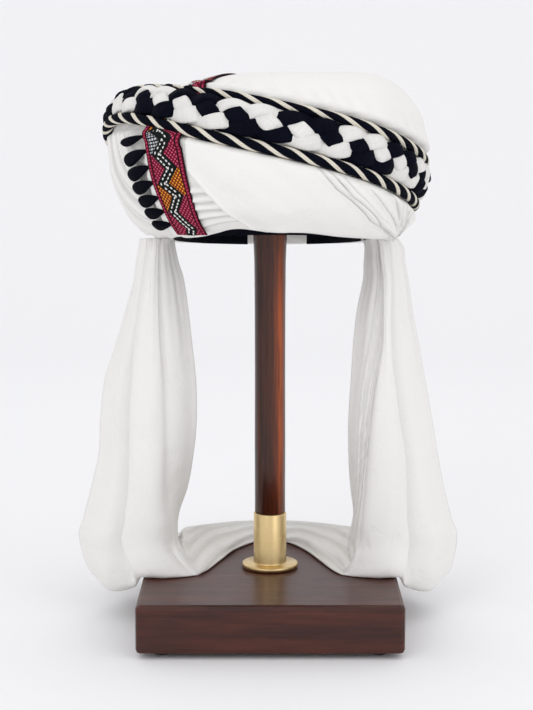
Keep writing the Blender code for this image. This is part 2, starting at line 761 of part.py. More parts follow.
def main():
    clear_scene()
    white_cloth = material("white_cloth", (0.84, 0.83, 0.81), 0.9)
    plait_cloth = material("plait_cloth", (0.45, 0.45, 0.46), 0.9)
    black_cord = material("black_cord", (0.008, 0.009, 0.014), 0.85)
    black_felt = material("black_felt", (0.006, 0.007, 0.014), 0.9)
    embroidery = material("embroidery", (0.30, 0.012, 0.035), 0.85)
    wood = material("mahogany", (0.085, 0.022, 0.012), 0.35)
    dark_wood = material("dark_mahogany", (0.05, 0.010, 0.006), 0.3)
    brass = material("brass", (0.62, 0.40, 0.14), 0.28, 1.0)
    rubber = material("black_rubber", (0.01, 0.01, 0.01), 0.8)

    make_turban_body(white_cloth)
    make_front_wrap(white_cloth)
    make_braid(plait_cloth, black_cord)
    make_band(embroidery)
    make_petals(black_felt)
    make_inner_band(black_cord)
    make_hanging_loop(white_cloth)
    make_stand(wood, dark_wood, brass, rubber)


main()
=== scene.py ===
import math

import bpy
import numpy as np
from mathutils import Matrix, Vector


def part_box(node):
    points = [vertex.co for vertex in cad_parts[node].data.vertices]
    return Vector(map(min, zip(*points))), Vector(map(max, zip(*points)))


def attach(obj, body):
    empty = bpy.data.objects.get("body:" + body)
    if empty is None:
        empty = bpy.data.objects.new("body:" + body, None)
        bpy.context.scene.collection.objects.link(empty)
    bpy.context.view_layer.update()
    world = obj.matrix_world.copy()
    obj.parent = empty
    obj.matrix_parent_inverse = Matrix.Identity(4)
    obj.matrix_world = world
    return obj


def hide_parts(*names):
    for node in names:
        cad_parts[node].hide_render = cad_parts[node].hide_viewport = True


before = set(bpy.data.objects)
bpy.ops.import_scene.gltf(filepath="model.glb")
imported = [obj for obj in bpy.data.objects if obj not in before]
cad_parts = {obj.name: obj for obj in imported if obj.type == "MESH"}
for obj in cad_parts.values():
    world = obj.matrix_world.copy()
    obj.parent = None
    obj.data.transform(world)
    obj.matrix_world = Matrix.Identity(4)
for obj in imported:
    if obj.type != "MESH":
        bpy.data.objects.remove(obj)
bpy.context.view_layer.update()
print("frame loaded")

# Measures shared with the solids, in metres. theta runs round the turban from the front towards
# the viewer's right, phi up from a hub inside it.
turban = {
    "halfWidth": 0.136,
    "halfDepth": 0.148,
    "rim": 0.3273,
    "crownTop": 0.4668,
    "rimTilt": 0.0110,
    "hub": 0.46,
    "clearance": 0.0003,
    "grooveDepth": 0.0085,
    "grooveRamp": 0.0065,
    "braidSlant": 1.06,
    "sinkRamp": 0.025,
    "dip": 0.0130,  # more of the crown sunk behind the plait at the left of the front
    "dipPlace": -0.61,
    "dipReach": 0.18,
    "dipFront": 0.6,  # how far back from the middle it still reaches
    "dipEdge": 0.002,  # how far under the rope it starts
    "dipRamp": 0.008,
    "flankShift": 0.0027,
    "flankStart": 0.5,
    "flankRamp": 0.45,
    "outline": (
        (0.000, 0.790), (0.035, 0.828), (0.110, 0.886), (0.217, 0.938), (0.361, 0.982),
        (0.500, 0.998), (0.612, 1.000), (0.718, 0.980), (0.800, 0.935), (0.875, 0.868),
        (0.930, 0.785), (0.968, 0.670), (0.990, 0.480), (1.000, 0.240), (1.002, 0.000),
    ),
    "hollow": (
        (0.000, 1.000), (0.120, 1.010), (0.350, 1.020), (0.600, 0.980),
        (0.780, 0.880), (0.900, 0.700), (0.970, 0.450), (1.000, 0.000),
    ),
    "sink": (
        (-1.00, 0.0075), (-0.60, 0.0078), (-0.44, 0.0075), (-0.34, 0.0062), (-0.23, 0.0046),
        (-0.10, 0.0036), (0.05, 0.0032), (0.20, 0.0022), (0.40, 0.0008), (0.58, 0.0004),
        (0.70, 0.0014), (0.80, 0.0032), (0.90, 0.0042), (1.00, 0.0044),
    ),
    "headWidth": 0.161,
    "headDepth": 0.200,
    "crownWall": 0.014,
    "meanRadius": 0.1415,  # turns an angle into metres round the turban, for patterns
    "height": 0.1395,  # turns a share of the rise into metres
}
braid = {
    "width": 0.026,
    "lobe": 0.08,
    "upperRope": 0.0075,
    "lowerRope": 0.0090,
    "rise": 0.0700,
    "tiltFront": 0.0313,
    "tiltSide": -0.0282,
    "twistFront": -0.0046,
    "twistSide": -0.0053,
    "wave": 0.0028,
    "spread": 0.13,  # how much wider it opens over the left of the front
    "spreadLift": 0.0004,
    "spreadPlace": -0.60,
    "spreadReach": 0.55,
    "tuck": 0.0033,  # how far the upper rope lies back behind the plait there
    "tuckPlace": -0.75,
}


# Curves and surfaces

def spline(rows, count):
    # Catmull-Rom curve through the rows, evenly spaced in its parameter
    rows = np.asarray(rows, float)
    ends = np.concatenate([[2 * rows[0] - rows[1]], rows, [2 * rows[-1] - rows[-2]]])
    place = np.linspace(0, len(rows) - 1, count)
    first = np.minimum(place.astype(int), len(rows) - 2)
    t = (place - first).reshape((-1,) + (1,) * (rows.ndim - 1))
    a, b, c, d = (ends[first + k] for k in range(4))
    return 0.5 * (2 * b + (c - a) * t + (2 * a - 5 * b + 4 * c - d) * t**2
                  + (3 * b - a - 3 * c + d) * t**3)


def unit(vectors):
    return vectors / np.maximum(np.linalg.norm(vectors, axis=-1, keepdims=True), 1e-12)


def lengthTo(points):
    # how far along the line each point lies
    return np.concatenate([[0], np.cumsum(np.linalg.norm(np.diff(points, axis=0), axis=1))])


def circle(count):
    return np.linspace(0, 2 * math.pi, count, endpoint=False)


def smooth(share):
    share = np.clip(share, 0, 1)
    return share * share * (3 - 2 * share)


def bell(x):
    return np.exp(-x * x)


outlineCurve = spline(turban["outline"], 400)
outlinePhi = np.arctan2(outlineCurve[:, 0] - turban["hub"], outlineCurve[:, 1])
outlineRho = np.hypot(outlineCurve[:, 0] - turban["hub"], outlineCurve[:, 1])
outlineLength = lengthTo(outlineCurve * [turban["crownTop"] - turban["rim"], turban["halfWidth"]])
hollowCurve = spline(turban["hollow"], 160)
sinkCurve = spline(turban["sink"], 160)


def rimAt(theta):
    return turban["rim"] + turban["rimTilt"] * np.cos(theta)


def flankShift(across):
    # both flanks lie a little to the left of the pole
    beyond = (np.abs(across) - turban["flankStart"]) / turban["flankRamp"]
    return turban["flankShift"] * smooth(beyond)


def outside(theta, phi):
    # an ellipse round the pole for every phi, its size read from the outline
    rho = np.interp(phi, outlinePhi, outlineRho)
    radius, rise = rho * np.cos(phi), turban["hub"] + rho * np.sin(phi)
    rim = rimAt(theta)
    across = radius * np.sin(theta)
    return np.stack([turban["halfWidth"] * across - flankShift(across),
                     -turban["halfDepth"] * radius * np.cos(theta),
                     rim + (turban["crownTop"] - rim) * rise], axis=-1)


def hollowWall(theta, rise):
    # the same for the room for the head
    radius = np.interp(rise, *hollowCurve.T)
    rim = rimAt(theta)
    return np.stack([turban["headWidth"] / 2 * radius * np.sin(theta),
                     -turban["headDepth"] / 2 * radius * np.cos(theta),
                     rim + (turban["crownTop"] - turban["crownWall"] - rim) * rise], axis=-1)


def coordinates(points):
    across, along = points[..., 0] / turban["halfWidth"], -points[..., 1] / turban["halfDepth"]
    across = across + flankShift(across) / turban["halfWidth"]
    theta = np.arctan2(across, along)
    rim = rimAt(theta)
    rise = (points[..., 2] - rim) / (turban["crownTop"] - rim)
    return theta, np.arctan2(rise - turban["hub"], np.hypot(across, along)), rise


def braidHeight(theta):
    return (turban["rim"] + braid["rise"] + braid["tiltFront"] * np.cos(theta)
            + braid["tiltSide"] * np.sin(theta) + braid["twistFront"] * np.cos(2 * theta)
            + braid["twistSide"] * np.sin(2 * theta) + braid["wave"] * np.sin(3 * theta))


def braidLength(theta):
    rim = rimAt(theta)
    rise = (braidHeight(theta) - rim) / (turban["crownTop"] - rim)
    return np.interp(rise, outlineCurve[:, 0], outlineLength)


plaitEdge = braid["width"] / 2 * (1 + braid["lobe"]) + turban["clearance"]
grooveTop = (plaitEdge + braid["upperRope"]) * turban["braidSlant"]
grooveBottom = (plaitEdge + braid["lowerRope"]) * turban["braidSlant"]


def awayFromBraid(theta, phi):
    # metres up the outline from the plait's middle line
    return np.interp(phi, outlinePhi, outlineLength) - braidLength(theta)


def besideGroove(away):
    # distance past the groove's floor in widths of its slope, 0 to 1 on the slope
    half = np.where(away > 0, grooveTop, grooveBottom)
    return (np.abs(away) - half) / turban["grooveRamp"]


def groove(theta, phi):
    # full depth under the braid with a smooth slope on each side, then the sunk crown behind it
    away = awayFromBraid(theta, phi)
    radius = np.interp(phi, outlinePhi, outlineRho) * np.cos(phi)
    across, along = radius * np.sin(theta), radius * np.cos(theta)
    behind = away - grooveTop
    dip = turban["dip"] * bell((across - turban["dipPlace"]) / turban["dipReach"])
    dip = dip * smooth(2 * along + turban["dipFront"])
    dip = dip * smooth((behind + turban["dipEdge"]) / turban["dipRamp"])
    sink = np.interp(across, *sinkCurve.T) * smooth(behind / turban["sinkRamp"])
    return turban["grooveDepth"] * smooth(1 - besideGroove(away)) + (sink + dip) * (away > 0)


def onTurban(theta, phi, lift):
    # the grooved outside, raised by lift along its ungrooved normal
    step = 1e-3
    across = outside(theta + step, phi) - outside(theta - step, phi)
    up = outside(theta, phi + step) - outside(theta, phi - step)
    height = np.asarray(lift) - groove(theta, phi)
    return outside(theta, phi) + unit(np.cross(across, up)) * height[..., None]


def lifted(points, lift):
    # points dropped on the outside along rays from the hub, then raised by lift
    theta, phi, _ = coordinates(points)
    phi = np.clip(phi, outlinePhi[0], math.radians(89.0))
    return onTurban(theta, phi, lift)


def tuckedAt(theta):
    # 1 where the upper rope lies back behind the plait, less on both sides
    return bell((theta - braid["tuckPlace"]) / braid["spreadReach"])


def inMetres(line):
    # theta in degrees and share of the rise as lengths on the outside
    return np.array(line) * [math.radians(1) * turban["meanRadius"], turban["height"]]


def normalAt(points):
    # the outside's direction at these points
    return unit(lifted(points, 0.01) - lifted(points, 0.0))


def phiAt(theta, height):
    # the outline's angle at a height above the floor
    rim = rimAt(theta)
    rise = (height - rim) / (turban["crownTop"] - rim)
    return np.interp(rise, outlineCurve[:, 0], outlinePhi)


def routeDistance(x, y, route):
    # signed distance to a line of points, positive on its left, and the share of the way along it
    route = np.asarray(route, float)
    best = np.full(np.broadcast(x, y).shape, 1e9)
    signed, along = best.copy(), best * 0
    for k in range(len(route) - 1):
        a, b = route[k], route[k + 1]
        run = b - a
        t = np.clip(((x - a[0]) * run[0] + (y - a[1]) * run[1]) / (run @ run), 0, 1)
        dx, dy = x - a[0] - t * run[0], y - a[1] - t * run[1]
        far = np.hypot(dx, dy)
        side = np.sign(run[0] * dy - run[1] * dx)
        nearer = far < best
        best = np.where(nearer, far, best)
        signed = np.where(nearer, far * side, signed)
        along = np.where(nearer, (k + t) / (len(route) - 1), along)
    return signed, along


def softNoise(seed, x, y, scale, waves=9):
    # a sum of sine waves in random directions, about -1 to 1
    rng = np.random.default_rng(seed)
    total = 0 * x + 0 * y
    for _ in range(waves):
        turn, phase = rng.uniform(0, 2 * math.pi, 2)
        size = scale * rng.uniform(0.6, 1.7)
        total = total + np.sin((x * math.cos(turn) + y * math.sin(turn)) * size + phase)
    return total / math.sqrt(waves)


# Meshes

def meshPiece(name, points, faces, material, uv=None, flip=False):
    # points (n, 3), faces a list of index arrays with a row for each face, uv the same per corner;
    # flip turns every face round
    if flip:
        faces, uv = ([part[:, ::-1] for part in parts] for parts in (faces, uv))
    mesh = bpy.data.meshes.new(name)
    mesh.vertices.add(len(points))
    mesh.vertices.foreach_set("co", np.asarray(points, np.float32).ravel())
    corners = np.concatenate([f.ravel() for f in faces]).astype(np.int32)
    sizes = np.concatenate([np.full(len(f), f.shape[1]) for f in faces])
    starts = np.concatenate([[0], np.cumsum(sizes)[:-1]]).astype(np.int32)
    mesh.loops.add(len(corners))
    mesh.loops.foreach_set("vertex_index", corners)
    mesh.polygons.add(len(sizes))
    mesh.polygons.foreach_set("loop_start", starts)
    mesh.update(calc_edges=True)
    if uv is not None:
        places = np.concatenate([u.reshape(-1, 2) for u in uv]).astype(np.float32)
        mesh.uv_layers.new(name="UVMap").data.foreach_set("uv", places.ravel())
    mesh.materials.append(material)
    mesh.shade_smooth()
    mesh.validate()
    piece = bpy.data.objects.new(name, mesh)
    bpy.context.scene.collection.objects.link(piece)
    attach(piece, "root")
    return piece


def gridFaces(rows, columns, closedRows=False, closedColumns=True):
    # vertex numbers of the quads of a grid, and the row and column of each corner
    i, j = np.meshgrid(np.arange(rows if closedRows else rows - 1),
                       np.arange(columns if closedColumns else columns - 1), indexing="ij")
    i, j = i.ravel(), j.ravel()
    row = np.stack([i, i, i + 1, i + 1], axis=1)
    column = np.stack([j, j + 1, j + 1, j], axis=1)
    return (row % rows) * columns + column % columns, row, column


def looksBack(points, corners, way):
    # whether a face with these corners looks against this direction
    a, b, c = (points.reshape(-1, 3)[corners[k]] for k in range(3))
    return np.cross(b - a, c - a) @ way < 0


def hoop(name, points, length, girth, material):
    # a closed ring of sections, one row of points each; length has one value more than the rows
    rows, sides = points.shape[:2]
    quads, row, column = gridFaces(rows, sides, closedRows=True)
    uv = np.stack([length[row], column / sides * girth], axis=-1)
    return meshPiece(name, points.reshape(-1, 3), [quads], material, [uv])


def pad(name, outer, inner, material, uv, way):
    # two grids joined round their edges; uv has a column more than both together, and way is the
    # direction in which the first face of the outer grid looks
    points = np.concatenate([outer, inner[:, ::-1]], axis=1)
    rows, columns = points.shape[:2]
    quads, row, column = gridFaces(rows, columns)
    faces, uvs = [quads], [uv[row, column]]
    j = np.arange(outer.shape[1] - 1)
    for ring in (0, rows - 1):
        cap = ring * columns + np.stack([j, j + 1, columns - 2 - j, columns - 1 - j], axis=1)
        faces.append(cap if ring else cap[:, ::-1])
        uvs.append(np.repeat(uv[ring, :len(j)][:, None], 4, axis=1))
    flip = looksBack(points, quads[0], way)
    return meshPiece(name, points.reshape(-1, 3), faces, material, uvs, flip)


def bothSides(values):
    # a sheet's outside then its inside, as its rows run
    return np.concatenate([values, values[:, ::-1]], axis=1)


def shell(name, middle, thickness, material, uv):
    # a sheet of this thickness round a grid of middle points, closed at its edges
    normal = unit(np.cross(np.gradient(middle, axis=0), np.gradient(middle, axis=1)))
    half = np.broadcast_to(thickness, middle.shape[:2])[..., None] / 2
    uv = np.concatenate([bothSides(uv), uv[:, :1]], axis=1)
    return pad(name, middle + normal * half, middle - normal * half, material, uv, normal[0, 0])


def spun(name, rings, material, girth, flip=False):
    # rings of points round an axis, with a fan to the middle of the first and of the last
    rows, columns = rings.shape[:2]
    quads, row, column = gridFaces(rows, columns)
    uv = np.stack([column / columns * girth, lengthTo(rings[:, 0])[row]], axis=-1)
    points = np.concatenate([rings.reshape(-1, 3), [rings[0].mean(axis=0)], [rings[-1].mean(axis=0)]])
    first, last = np.arange(columns), (rows - 1) * columns + np.arange(columns)
    fans = [np.stack([a, b, np.full(columns, centre)], axis=1) for a, b, centre in (
        (np.roll(first, -1), first, rows * columns), (last, np.roll(last, -1), rows * columns + 1))]
    blank = np.zeros((columns, 3, 2))
    return meshPiece(name, points, [quads] + fans, material, [uv, blank, blank], flip)


def lathe(name, profile, material, sides=96):
    # (radius, height) pairs turned round the pole
    turn = circle(sides)
    radius, height = np.asarray(profile, float).T[..., None]
    rings = np.stack([radius * np.cos(turn), radius * np.sin(turn), height + 0 * turn], axis=-1)
    return spun(name, rings, material, 1.0)


def valleys(relief, reach, depth):
    # how far each place lies below the middle of its neighbours on both sides, from 0 to 1
    rows, columns = relief.shape
    wide = np.pad(relief, reach, mode="edge")
    found = np.zeros_like(relief)
    for down, over in ((0, reach), (reach, 0), (reach, reach), (reach, -reach)):
        one = wide[reach + down:reach + down + rows, reach + over:reach + over + columns]
        other = wide[reach - down:reach - down + rows, reach - over:reach - over + columns]
        found = np.maximum(found, (one + other) / 2 - relief)
    return np.clip(found / depth, 0, 1)


def addLayer(piece, name, values):
    layer = piece.data.attributes.new(name, "FLOAT", "POINT")
    layer.data.foreach_set("value", np.asarray(values, np.float32).ravel())


# Materials

class Signal:
    # one output of a node, with math nodes for its arithmetic
    def __init__(self, w, socket):
        self.w, self.socket = w, socket

    def __add__(self, other):
        return self.w.calc("ADD", self, other)

    def __sub__(self, other):
        return self.w.calc("SUBTRACT", self, other)

    def __rsub__(self, other):
        return self.w.calc("SUBTRACT", other, self)

    def __mul__(self, other):
        return self.w.calc("MULTIPLY", self, other)

    def __mod__(self, other):
        return self.w.calc("FLOORED_MODULO", self, other)

    def __abs__(self):
        return self.w.calc("ABSOLUTE", self)


class Outputs:
    # a node whose outputs are read with square brackets
    def __init__(self, w, node):
        self.w, self.node = w, node

    def __getitem__(self, key):
        return Signal(self.w, self.node.outputs[key])


class Wiring:
    # short calls for adding nodes to one tree
    def __init__(self, tree):
        self.tree = tree

    def join(self, value, socket):
        if isinstance(value, Signal):
            self.tree.links.new(value.socket, socket)
        else:
            socket.default_value = value

    def feed(self, node, inputs):
        for key, value in inputs.items():
            self.join(value, node.inputs[key])

    def node(self, kind, inputs={}, **settings):
        made = self.tree.nodes.new(kind)
        for key, value in settings.items():
            setattr(made, key, value)
        self.feed(made, inputs)
        return Outputs(self, made)

    def calc(self, operation, *values):
        return self.node("ShaderNodeMath", dict(enumerate(values)), operation=operation)[0]

    def mix(self, share, first, second):
        # first and second are colours, or other mixes
        first, second = (c if isinstance(c, Signal) else (*c, 1) for c in (first, second))
        return self.node("ShaderNodeMix", {0: share, 6: first, 7: second}, data_type="RGBA")[2]

    def noise(self, vector, scale, detail=3.0, roughness=0.55):
        return self.node("ShaderNodeTexNoise", {
            "Vector": vector, "Scale": scale, "Detail": detail, "Roughness": roughness})["Fac"]

    def stretch(self, vector, scale):
        return self.node("ShaderNodeMapping", {"Vector": vector, "Scale": scale})[0]

    def split(self, vector):
        return self.node("ShaderNodeSeparateXYZ", {"Vector": vector})

    def attribute(self, name):
        return self.node("ShaderNodeAttribute", attribute_name=name)["Fac"]

    def ramp(self, value, low, high, first=0.0, last=1.0):
        return self.node("ShaderNodeMapRange", {
            "Value": value, "From Min": low, "From Max": high, "To Min": first, "To Max": last},
            clamp=True)[0]

    def hump(self, value, rate=1.0):
        # rows of round ridges, this many to each unit of the value
        return abs(self.calc("SINE", value * (math.pi * rate)))

    def bump(self, height, strength, distance):
        return self.node("ShaderNodeBump", {
            "Height": height, "Strength": strength, "Distance": distance})[0]


def nodeGroup(name, inputs, outputs):
    # an input without a value is a vector, and everything else a number
    tree = bpy.data.node_groups.new(name, "ShaderNodeTree")
    for label, value in inputs.items():
        kind = "NodeSocketVector" if value is None else "NodeSocketFloat"
        socket = tree.interface.new_socket(label, in_out="INPUT", socket_type=kind)
        if value is not None:
            socket.default_value = value
    for label in outputs:
        tree.interface.new_socket(label, in_out="OUTPUT", socket_type="NodeSocketFloat")
    w = Wiring(tree)
    return tree, w, w.node("NodeGroupInput"), tree.nodes.new("NodeGroupOutput")


def weaveGroup():
    # plain weave: threads both ways, each with its own thickness along its run
    tree, w, given, out = nodeGroup("weave", {"Vector": None, "Threads": 1200.0}, ("Height", "Slub"))
    split = w.split(given["Vector"])
    u, v = (split[k] * given["Threads"] for k in (0, 1))
    over = (w.calc("FLOOR", u) + w.calc("FLOOR", v)) % 2.0
    warp, weft = (w.noise(w.stretch(given["Vector"], scale), 1.0, 2.0)
                  for scale in ((45, 1300, 1), (1300, 45, 1)))
    slub = (warp + weft) * 0.5
    w.feed(out, {"Height": w.hump(u) * over + w.hump(v) * (1.0 - over) + slub * 1.4, "Slub": slub})
    return tree


def creaseGroup():
    # soft crumple and small dirt tones, the same on every cloth
    tree, w, given, out = nodeGroup("crumple", {"Vector": None, "Scale": 40.0}, ("Height", "Tone"))
    soft = w.noise(given["Vector"], given["Scale"], 4.0, 0.5)
    w.feed(out, {"Height": soft - abs(soft - 0.5) * 0.8,
                 "Tone": w.noise(given["Vector"], 9.0, 3.0, 0.6)})
    return tree


def grainGroup():
    # long wood grain along the stretched axis, with streaks and pores
    tree, w, given, out = nodeGroup("grain", {"Vector": None}, ("Tone", "Streak", "Pores"))
    vector = given["Vector"]
    w.feed(out, {"Tone": w.noise(vector, 1.0, 5.0, 0.6),
                 "Streak": w.noise(w.stretch(vector, (3.1, 3.1, 3.1)), 1.0, 3.0, 0.7),
                 "Pores": w.noise(w.stretch(vector, (9.0, 9.0, 9.0)), 1.0, 2.0, 0.5)})
    return tree


weave, crumple, grain = weaveGroup(), creaseGroup(), grainGroup()


def newMaterial(name):
    material = bpy.data.materials.new(name)
    material.use_nodes = True
    w = Wiring(material.node_tree)
    shader = material.node_tree.nodes["Principled BSDF"]
    return material, w, shader, w.node("ShaderNodeTexCoord")


cloths = {
    # light and dark end of the colour, threads to the metre, depth of the weave, scale and depth
    # of the crumple, sheen
    "whiteCotton": ((0.865, 0.855, 0.83), (0.845, 0.834, 0.806), 1150.0, 0.00003, 34.0, 0.0022, 0.05),
    "whiteStrand": ((0.83, 0.82, 0.79), (0.72, 0.71, 0.685), 900.0, 0.00008, 70.0, 0.0012, 0.05),
    "blackStrand": ((0.0030, 0.0040, 0.0115), (0.0010, 0.0013, 0.0045), 900.0, 0.0001, 70.0, 0.0012, 0.0),
    "blackCotton": ((0.0045, 0.0055, 0.011), (0.0015, 0.0018, 0.004), 1300.0, 0.00006, 120.0, 0.0006, 0.02),
    "petalCloth": ((0.0026, 0.0032, 0.0085), (0.0010, 0.0012, 0.0035), 1600.0, 0.00005, 160.0, 0.0005, 0.0),
}


def clothMaterial(name):
    # woven cloth, with painted shade: a little darker in the valleys of its folds
    light, dark, threads, weaveDepth, crumpleScale, crumpleDepth, sheen = cloths[name]
    material, w, shader, where = newMaterial(name)
    woven = w.node("ShaderNodeGroup", {"Vector": where["UV"], "Threads": threads}, node_tree=weave)
    folded = w.node("ShaderNodeGroup", {"Vector": where["Object"], "Scale": crumpleScale}, node_tree=crumple)
    tone = w.ramp(woven["Slub"], 0.38, 0.62, 0.0, 0.6) + w.ramp(folded["Tone"], 0.35, 0.65, 0.0, 0.4)
    shade = [0.72 * value for value in dark]
    height = woven["Height"] * weaveDepth + folded["Height"] * crumpleDepth
    w.feed(shader, {
        # painted shade: the colour goes towards the shade colour in the valleys of the folds
        "Base Color": w.mix(w.attribute("foldShade") * 0.8, w.mix(tone, dark, light), shade),
        "Roughness": w.ramp(woven["Slub"], 0.3, 0.7, 0.95, 0.82),
        "Sheen Weight": sheen, "Sheen Roughness": 0.4, "Specular IOR Level": 0.07,
        "Normal": w.bump(height, 1.0, 1.0)})
    return material


whiteCotton, whiteStrand, blackStrand, blackCotton, petalCloth = map(clothMaterial, cloths)


def cordMaterial(name, light, dark, pitch):
    # twisted yarn: fine slanting ridges across the length, with painted shade in the grooves between them
    material, w, shader, where = newMaterial(name)
    split = w.split(where["UV"])
    ridge = w.hump(split[0] * (1 / pitch) + split[1] * 3.0)
    fuzz = w.noise(where["Object"], 900.0, 2.0)
    # the colour follows the ridges: painted shade in the grooves between them
    w.feed(shader, {
        "Base Color": w.mix(ridge * 0.7 + fuzz * 0.4, dark, light),
        "Roughness": w.ramp(fuzz, 0.3, 0.7, 0.9, 0.75), "Sheen Weight": 0.08,
        "Normal": w.bump(ridge + fuzz * 0.5, 0.8, 0.0004)})
    return material


creamCord = cordMaterial("creamCord", (0.90, 0.86, 0.75), (0.62, 0.56, 0.45), 0.0016)
print("materials made")


# Wound cloth of the turban

wound = {
    "columns": 460,
    "rows": 150,
    "rowShare": 1.35,  # crowds the rows towards the rim
    "panelPleats": (0.033, 0.0395, 0.0505, 0.0570, 0.0700, 0.0765, 0.0895, 0.0970, 0.1120),
    "panelDepth": 0.0030,
    "panelPleatWidth": 0.0027,
    "panelMiddle": (-0.108, 0.094),  # of the arcs, in metres round from the front and up from the rim
    "sidePleatRises": (0.275, 0.222, 0.172, 0.112, 0.055),
    "sidePleatDepth": 0.0020,
    "sidePleatWidth": 0.0021,
    "backEdges": (  # theta in degrees and share of the rise, one line for each wrapped edge behind
        ((84, 0.08), (120, 0.14), (160, 0.22), (205, 0.34), (250, 0.50)),
        ((90, 0.26), (130, 0.27), (170, 0.24), (215, 0.16), (262, 0.05)),
        ((96, 0.02), (130, 0.03), (180, 0.06), (225, 0.05), (262, 0.02)),
        ((150, 0.02), (180, 0.12), (215, 0.24), (255, 0.40), (270, 0.48)),
    ),
    "edgeDepth": 0.0015,
    "edgeWidth": 0.0016,
    "creaseDepth": 0.0006,
    "foldDepth": 0.0005,
    "unevenness": 0.0004,
    "shadeDepth": 0.0009,  # a valley this deep is shaded in full
    "frontRise": 0.0062,
    "frontRiseRight": 0.0030,
    "crownPinch": 0.00015,
    "crownWave": 0.0004,
}


def woundRelief(theta, phi):
    # pleats and wrapped edges pressed in or raised, in metres, over the whole outside
    point = outside(theta, phi)
    _, _, rise = coordinates(point)
    away = awayFromBraid(theta, phi)
    degrees = np.degrees(theta)
    around = turban["meanRadius"] * theta
    up = turban["height"] * rise
    below = smooth((-away - grooveBottom) / 0.006)
    above = smooth((away - grooveTop - 0.002) / 0.008)
    seam = smooth((180 - np.abs(degrees)) / 8)  # what doesn't repeat round the turban fades out behind
    relief = softNoise(3, around, up, 45) * wound["unevenness"] * seam
    # left of the band: pleats in arcs round the band's upper end
    panelRound, panelUp = wound["panelMiddle"]
    left = panelRound - around
    drop = panelUp - up
    arc = np.hypot(np.maximum(left, 0), drop) + 0.006 * softNoise(5, around, up, 22, 5)
    panel = smooth((-degrees - 44) / 4) * smooth((118 + degrees) / 16)
    for k, radius in enumerate(wound["panelPleats"]):
        across = (arc - radius) / wound["panelPleatWidth"]
        sweep = np.where(across < 0, bell(across * 0.55), bell(across * 1.9))
        proud = wound["panelDepth"] * (sweep - 0.35) * (0.65 + 0.35 * math.sin(2.3 * k))
        relief = relief + panel * below * proud
    # right of the band: flat pleats that run in under the front sheet
    side = smooth((degrees + 34) / 3) * smooth((2 - degrees) / 8)
    for k, level in enumerate(wound["sidePleatRises"]):
        across = (rise - level - 0.0012 * (degrees + 20)) * turban["height"] / wound["sidePleatWidth"]
        sweep = np.where(across < 0, bell(across * 2.4), bell(across * 0.6))
        relief = relief + side * wound["sidePleatDepth"] * sweep
    # behind: sheets that cross, each with one folded edge standing proud
    turned = theta % (2 * math.pi) * turban["meanRadius"]
    for line in wound["backEdges"]:
        signed, along = routeDistance(turned, up, inMetres(line))
        fade = smooth(along * 8) * smooth((1 - along) * 8)
        step = smooth(0.5 + signed / wound["edgeWidth"]) * bell(np.maximum(signed, 0) / 0.022)
        crease = bell((signed + 0.0009) / 0.0011)
        relief = relief + below * fade * (wound["edgeDepth"] * step - wound["creaseDepth"] * crease)
    # soft long folds over the whole lower part
    back = smooth((np.abs(degrees) - 100) / 25)
    waves = np.sin(up * 420 + 5 * np.sin(around * 11) + 2.2 * softNoise(8, around, up, 14, 5))
    relief = relief + below * back * seam * wound["foldDepth"] * waves
    # crown: pulled smooth, pinched in short folds where the upper rope holds it
    nearRope = bell((away - grooveTop - 0.006) / 0.014) * above
    pinch = np.sin(around * 330 + 3 * softNoise(11, around, up, 40, 5))
    relief = relief + wound["crownPinch"] * nearRope * seam * pinch
    relief = relief + above * wound["crownWave"] * softNoise(13, point[..., 0], point[..., 1], 38, 7)
    return relief


def drawnUp(points):
    # the rim rises in front, most of all just right of the band
    theta, _, _ = coordinates(points)
    degrees = np.degrees(theta)
    raised = wound["frontRise"] * bell((degrees + 14) / 13)
    raised = raised + wound["frontRiseRight"] * bell((degrees - 12) / 15)
    points = points.copy()
    points[..., 2] += raised * smooth(1 - (points[..., 2] - rimAt(theta)) / 0.024)
    return points


def makeWound():
    # rings from the crown's pole down the outside, under the rim and up the hollow to its pole
    columns = wound["columns"]
    theta = circle(columns)
    share = 1 - (1 - np.linspace(0.004, 1, wound["rows"])[:, None]) ** wound["rowShare"]
    length = outlineLength[-1] * (1 - share)
    phi = np.interp(length, outlineLength, outlinePhi)
    turn = np.broadcast_to(theta, (wound["rows"], columns))
    phi = np.broadcast_to(phi, turn.shape)
    wrapped = np.where(turn > math.pi, turn - 2 * math.pi, turn)
    relief = woundRelief(wrapped, phi)
    outer = onTurban(turn, phi, relief)
    # the rim rolls under in a round edge
    rimIn = hollowWall(theta, 0 * theta)
    roll = np.linspace(0, 1, 12)[1:-1, None]
    under = outer[-1] + (rimIn - outer[-1]) * roll[..., None]
    under[..., 2] -= 0.0012 * np.sin(math.pi * roll)
    under[..., 2] += 0.0007 * np.sin(roll * 14 + 1.5 * softNoise(21, 0.14 * theta, 0 * theta, 40))
    rises = np.concatenate([np.linspace(0, 0.9, 22), [0.93, 0.96, 0.98, 0.995]])
    inner = hollowWall(turn[:1], rises[:, None] + 0 * turn[:1])
    inward = -unit(inner * [1, 1, 0])
    seams = 0.0006 * np.sin(9 * turn[:1] + 0 * rises[:, None]) * smooth(rises[:, None] * 8)
    inner = inner + inward * seams[..., None]
    rings = drawnUp(np.concatenate([outer, under, inner]))
    piece = spun("wound_cloth", rings, whiteCotton, 2 * math.pi * turban["meanRadius"], flip=True)
    # painted shade: the valleys of the relief, kept in a layer for the cloth's colour
    foldShade = np.zeros(len(piece.data.vertices))
    foldShade[:relief.size] = valleys(relief, 2, wound["shadeDepth"]).ravel()
    addLayer(piece, "foldShade", foldShade)
    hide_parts("turban_body")


makeWound()
print("wound cloth made")


# Front sheet

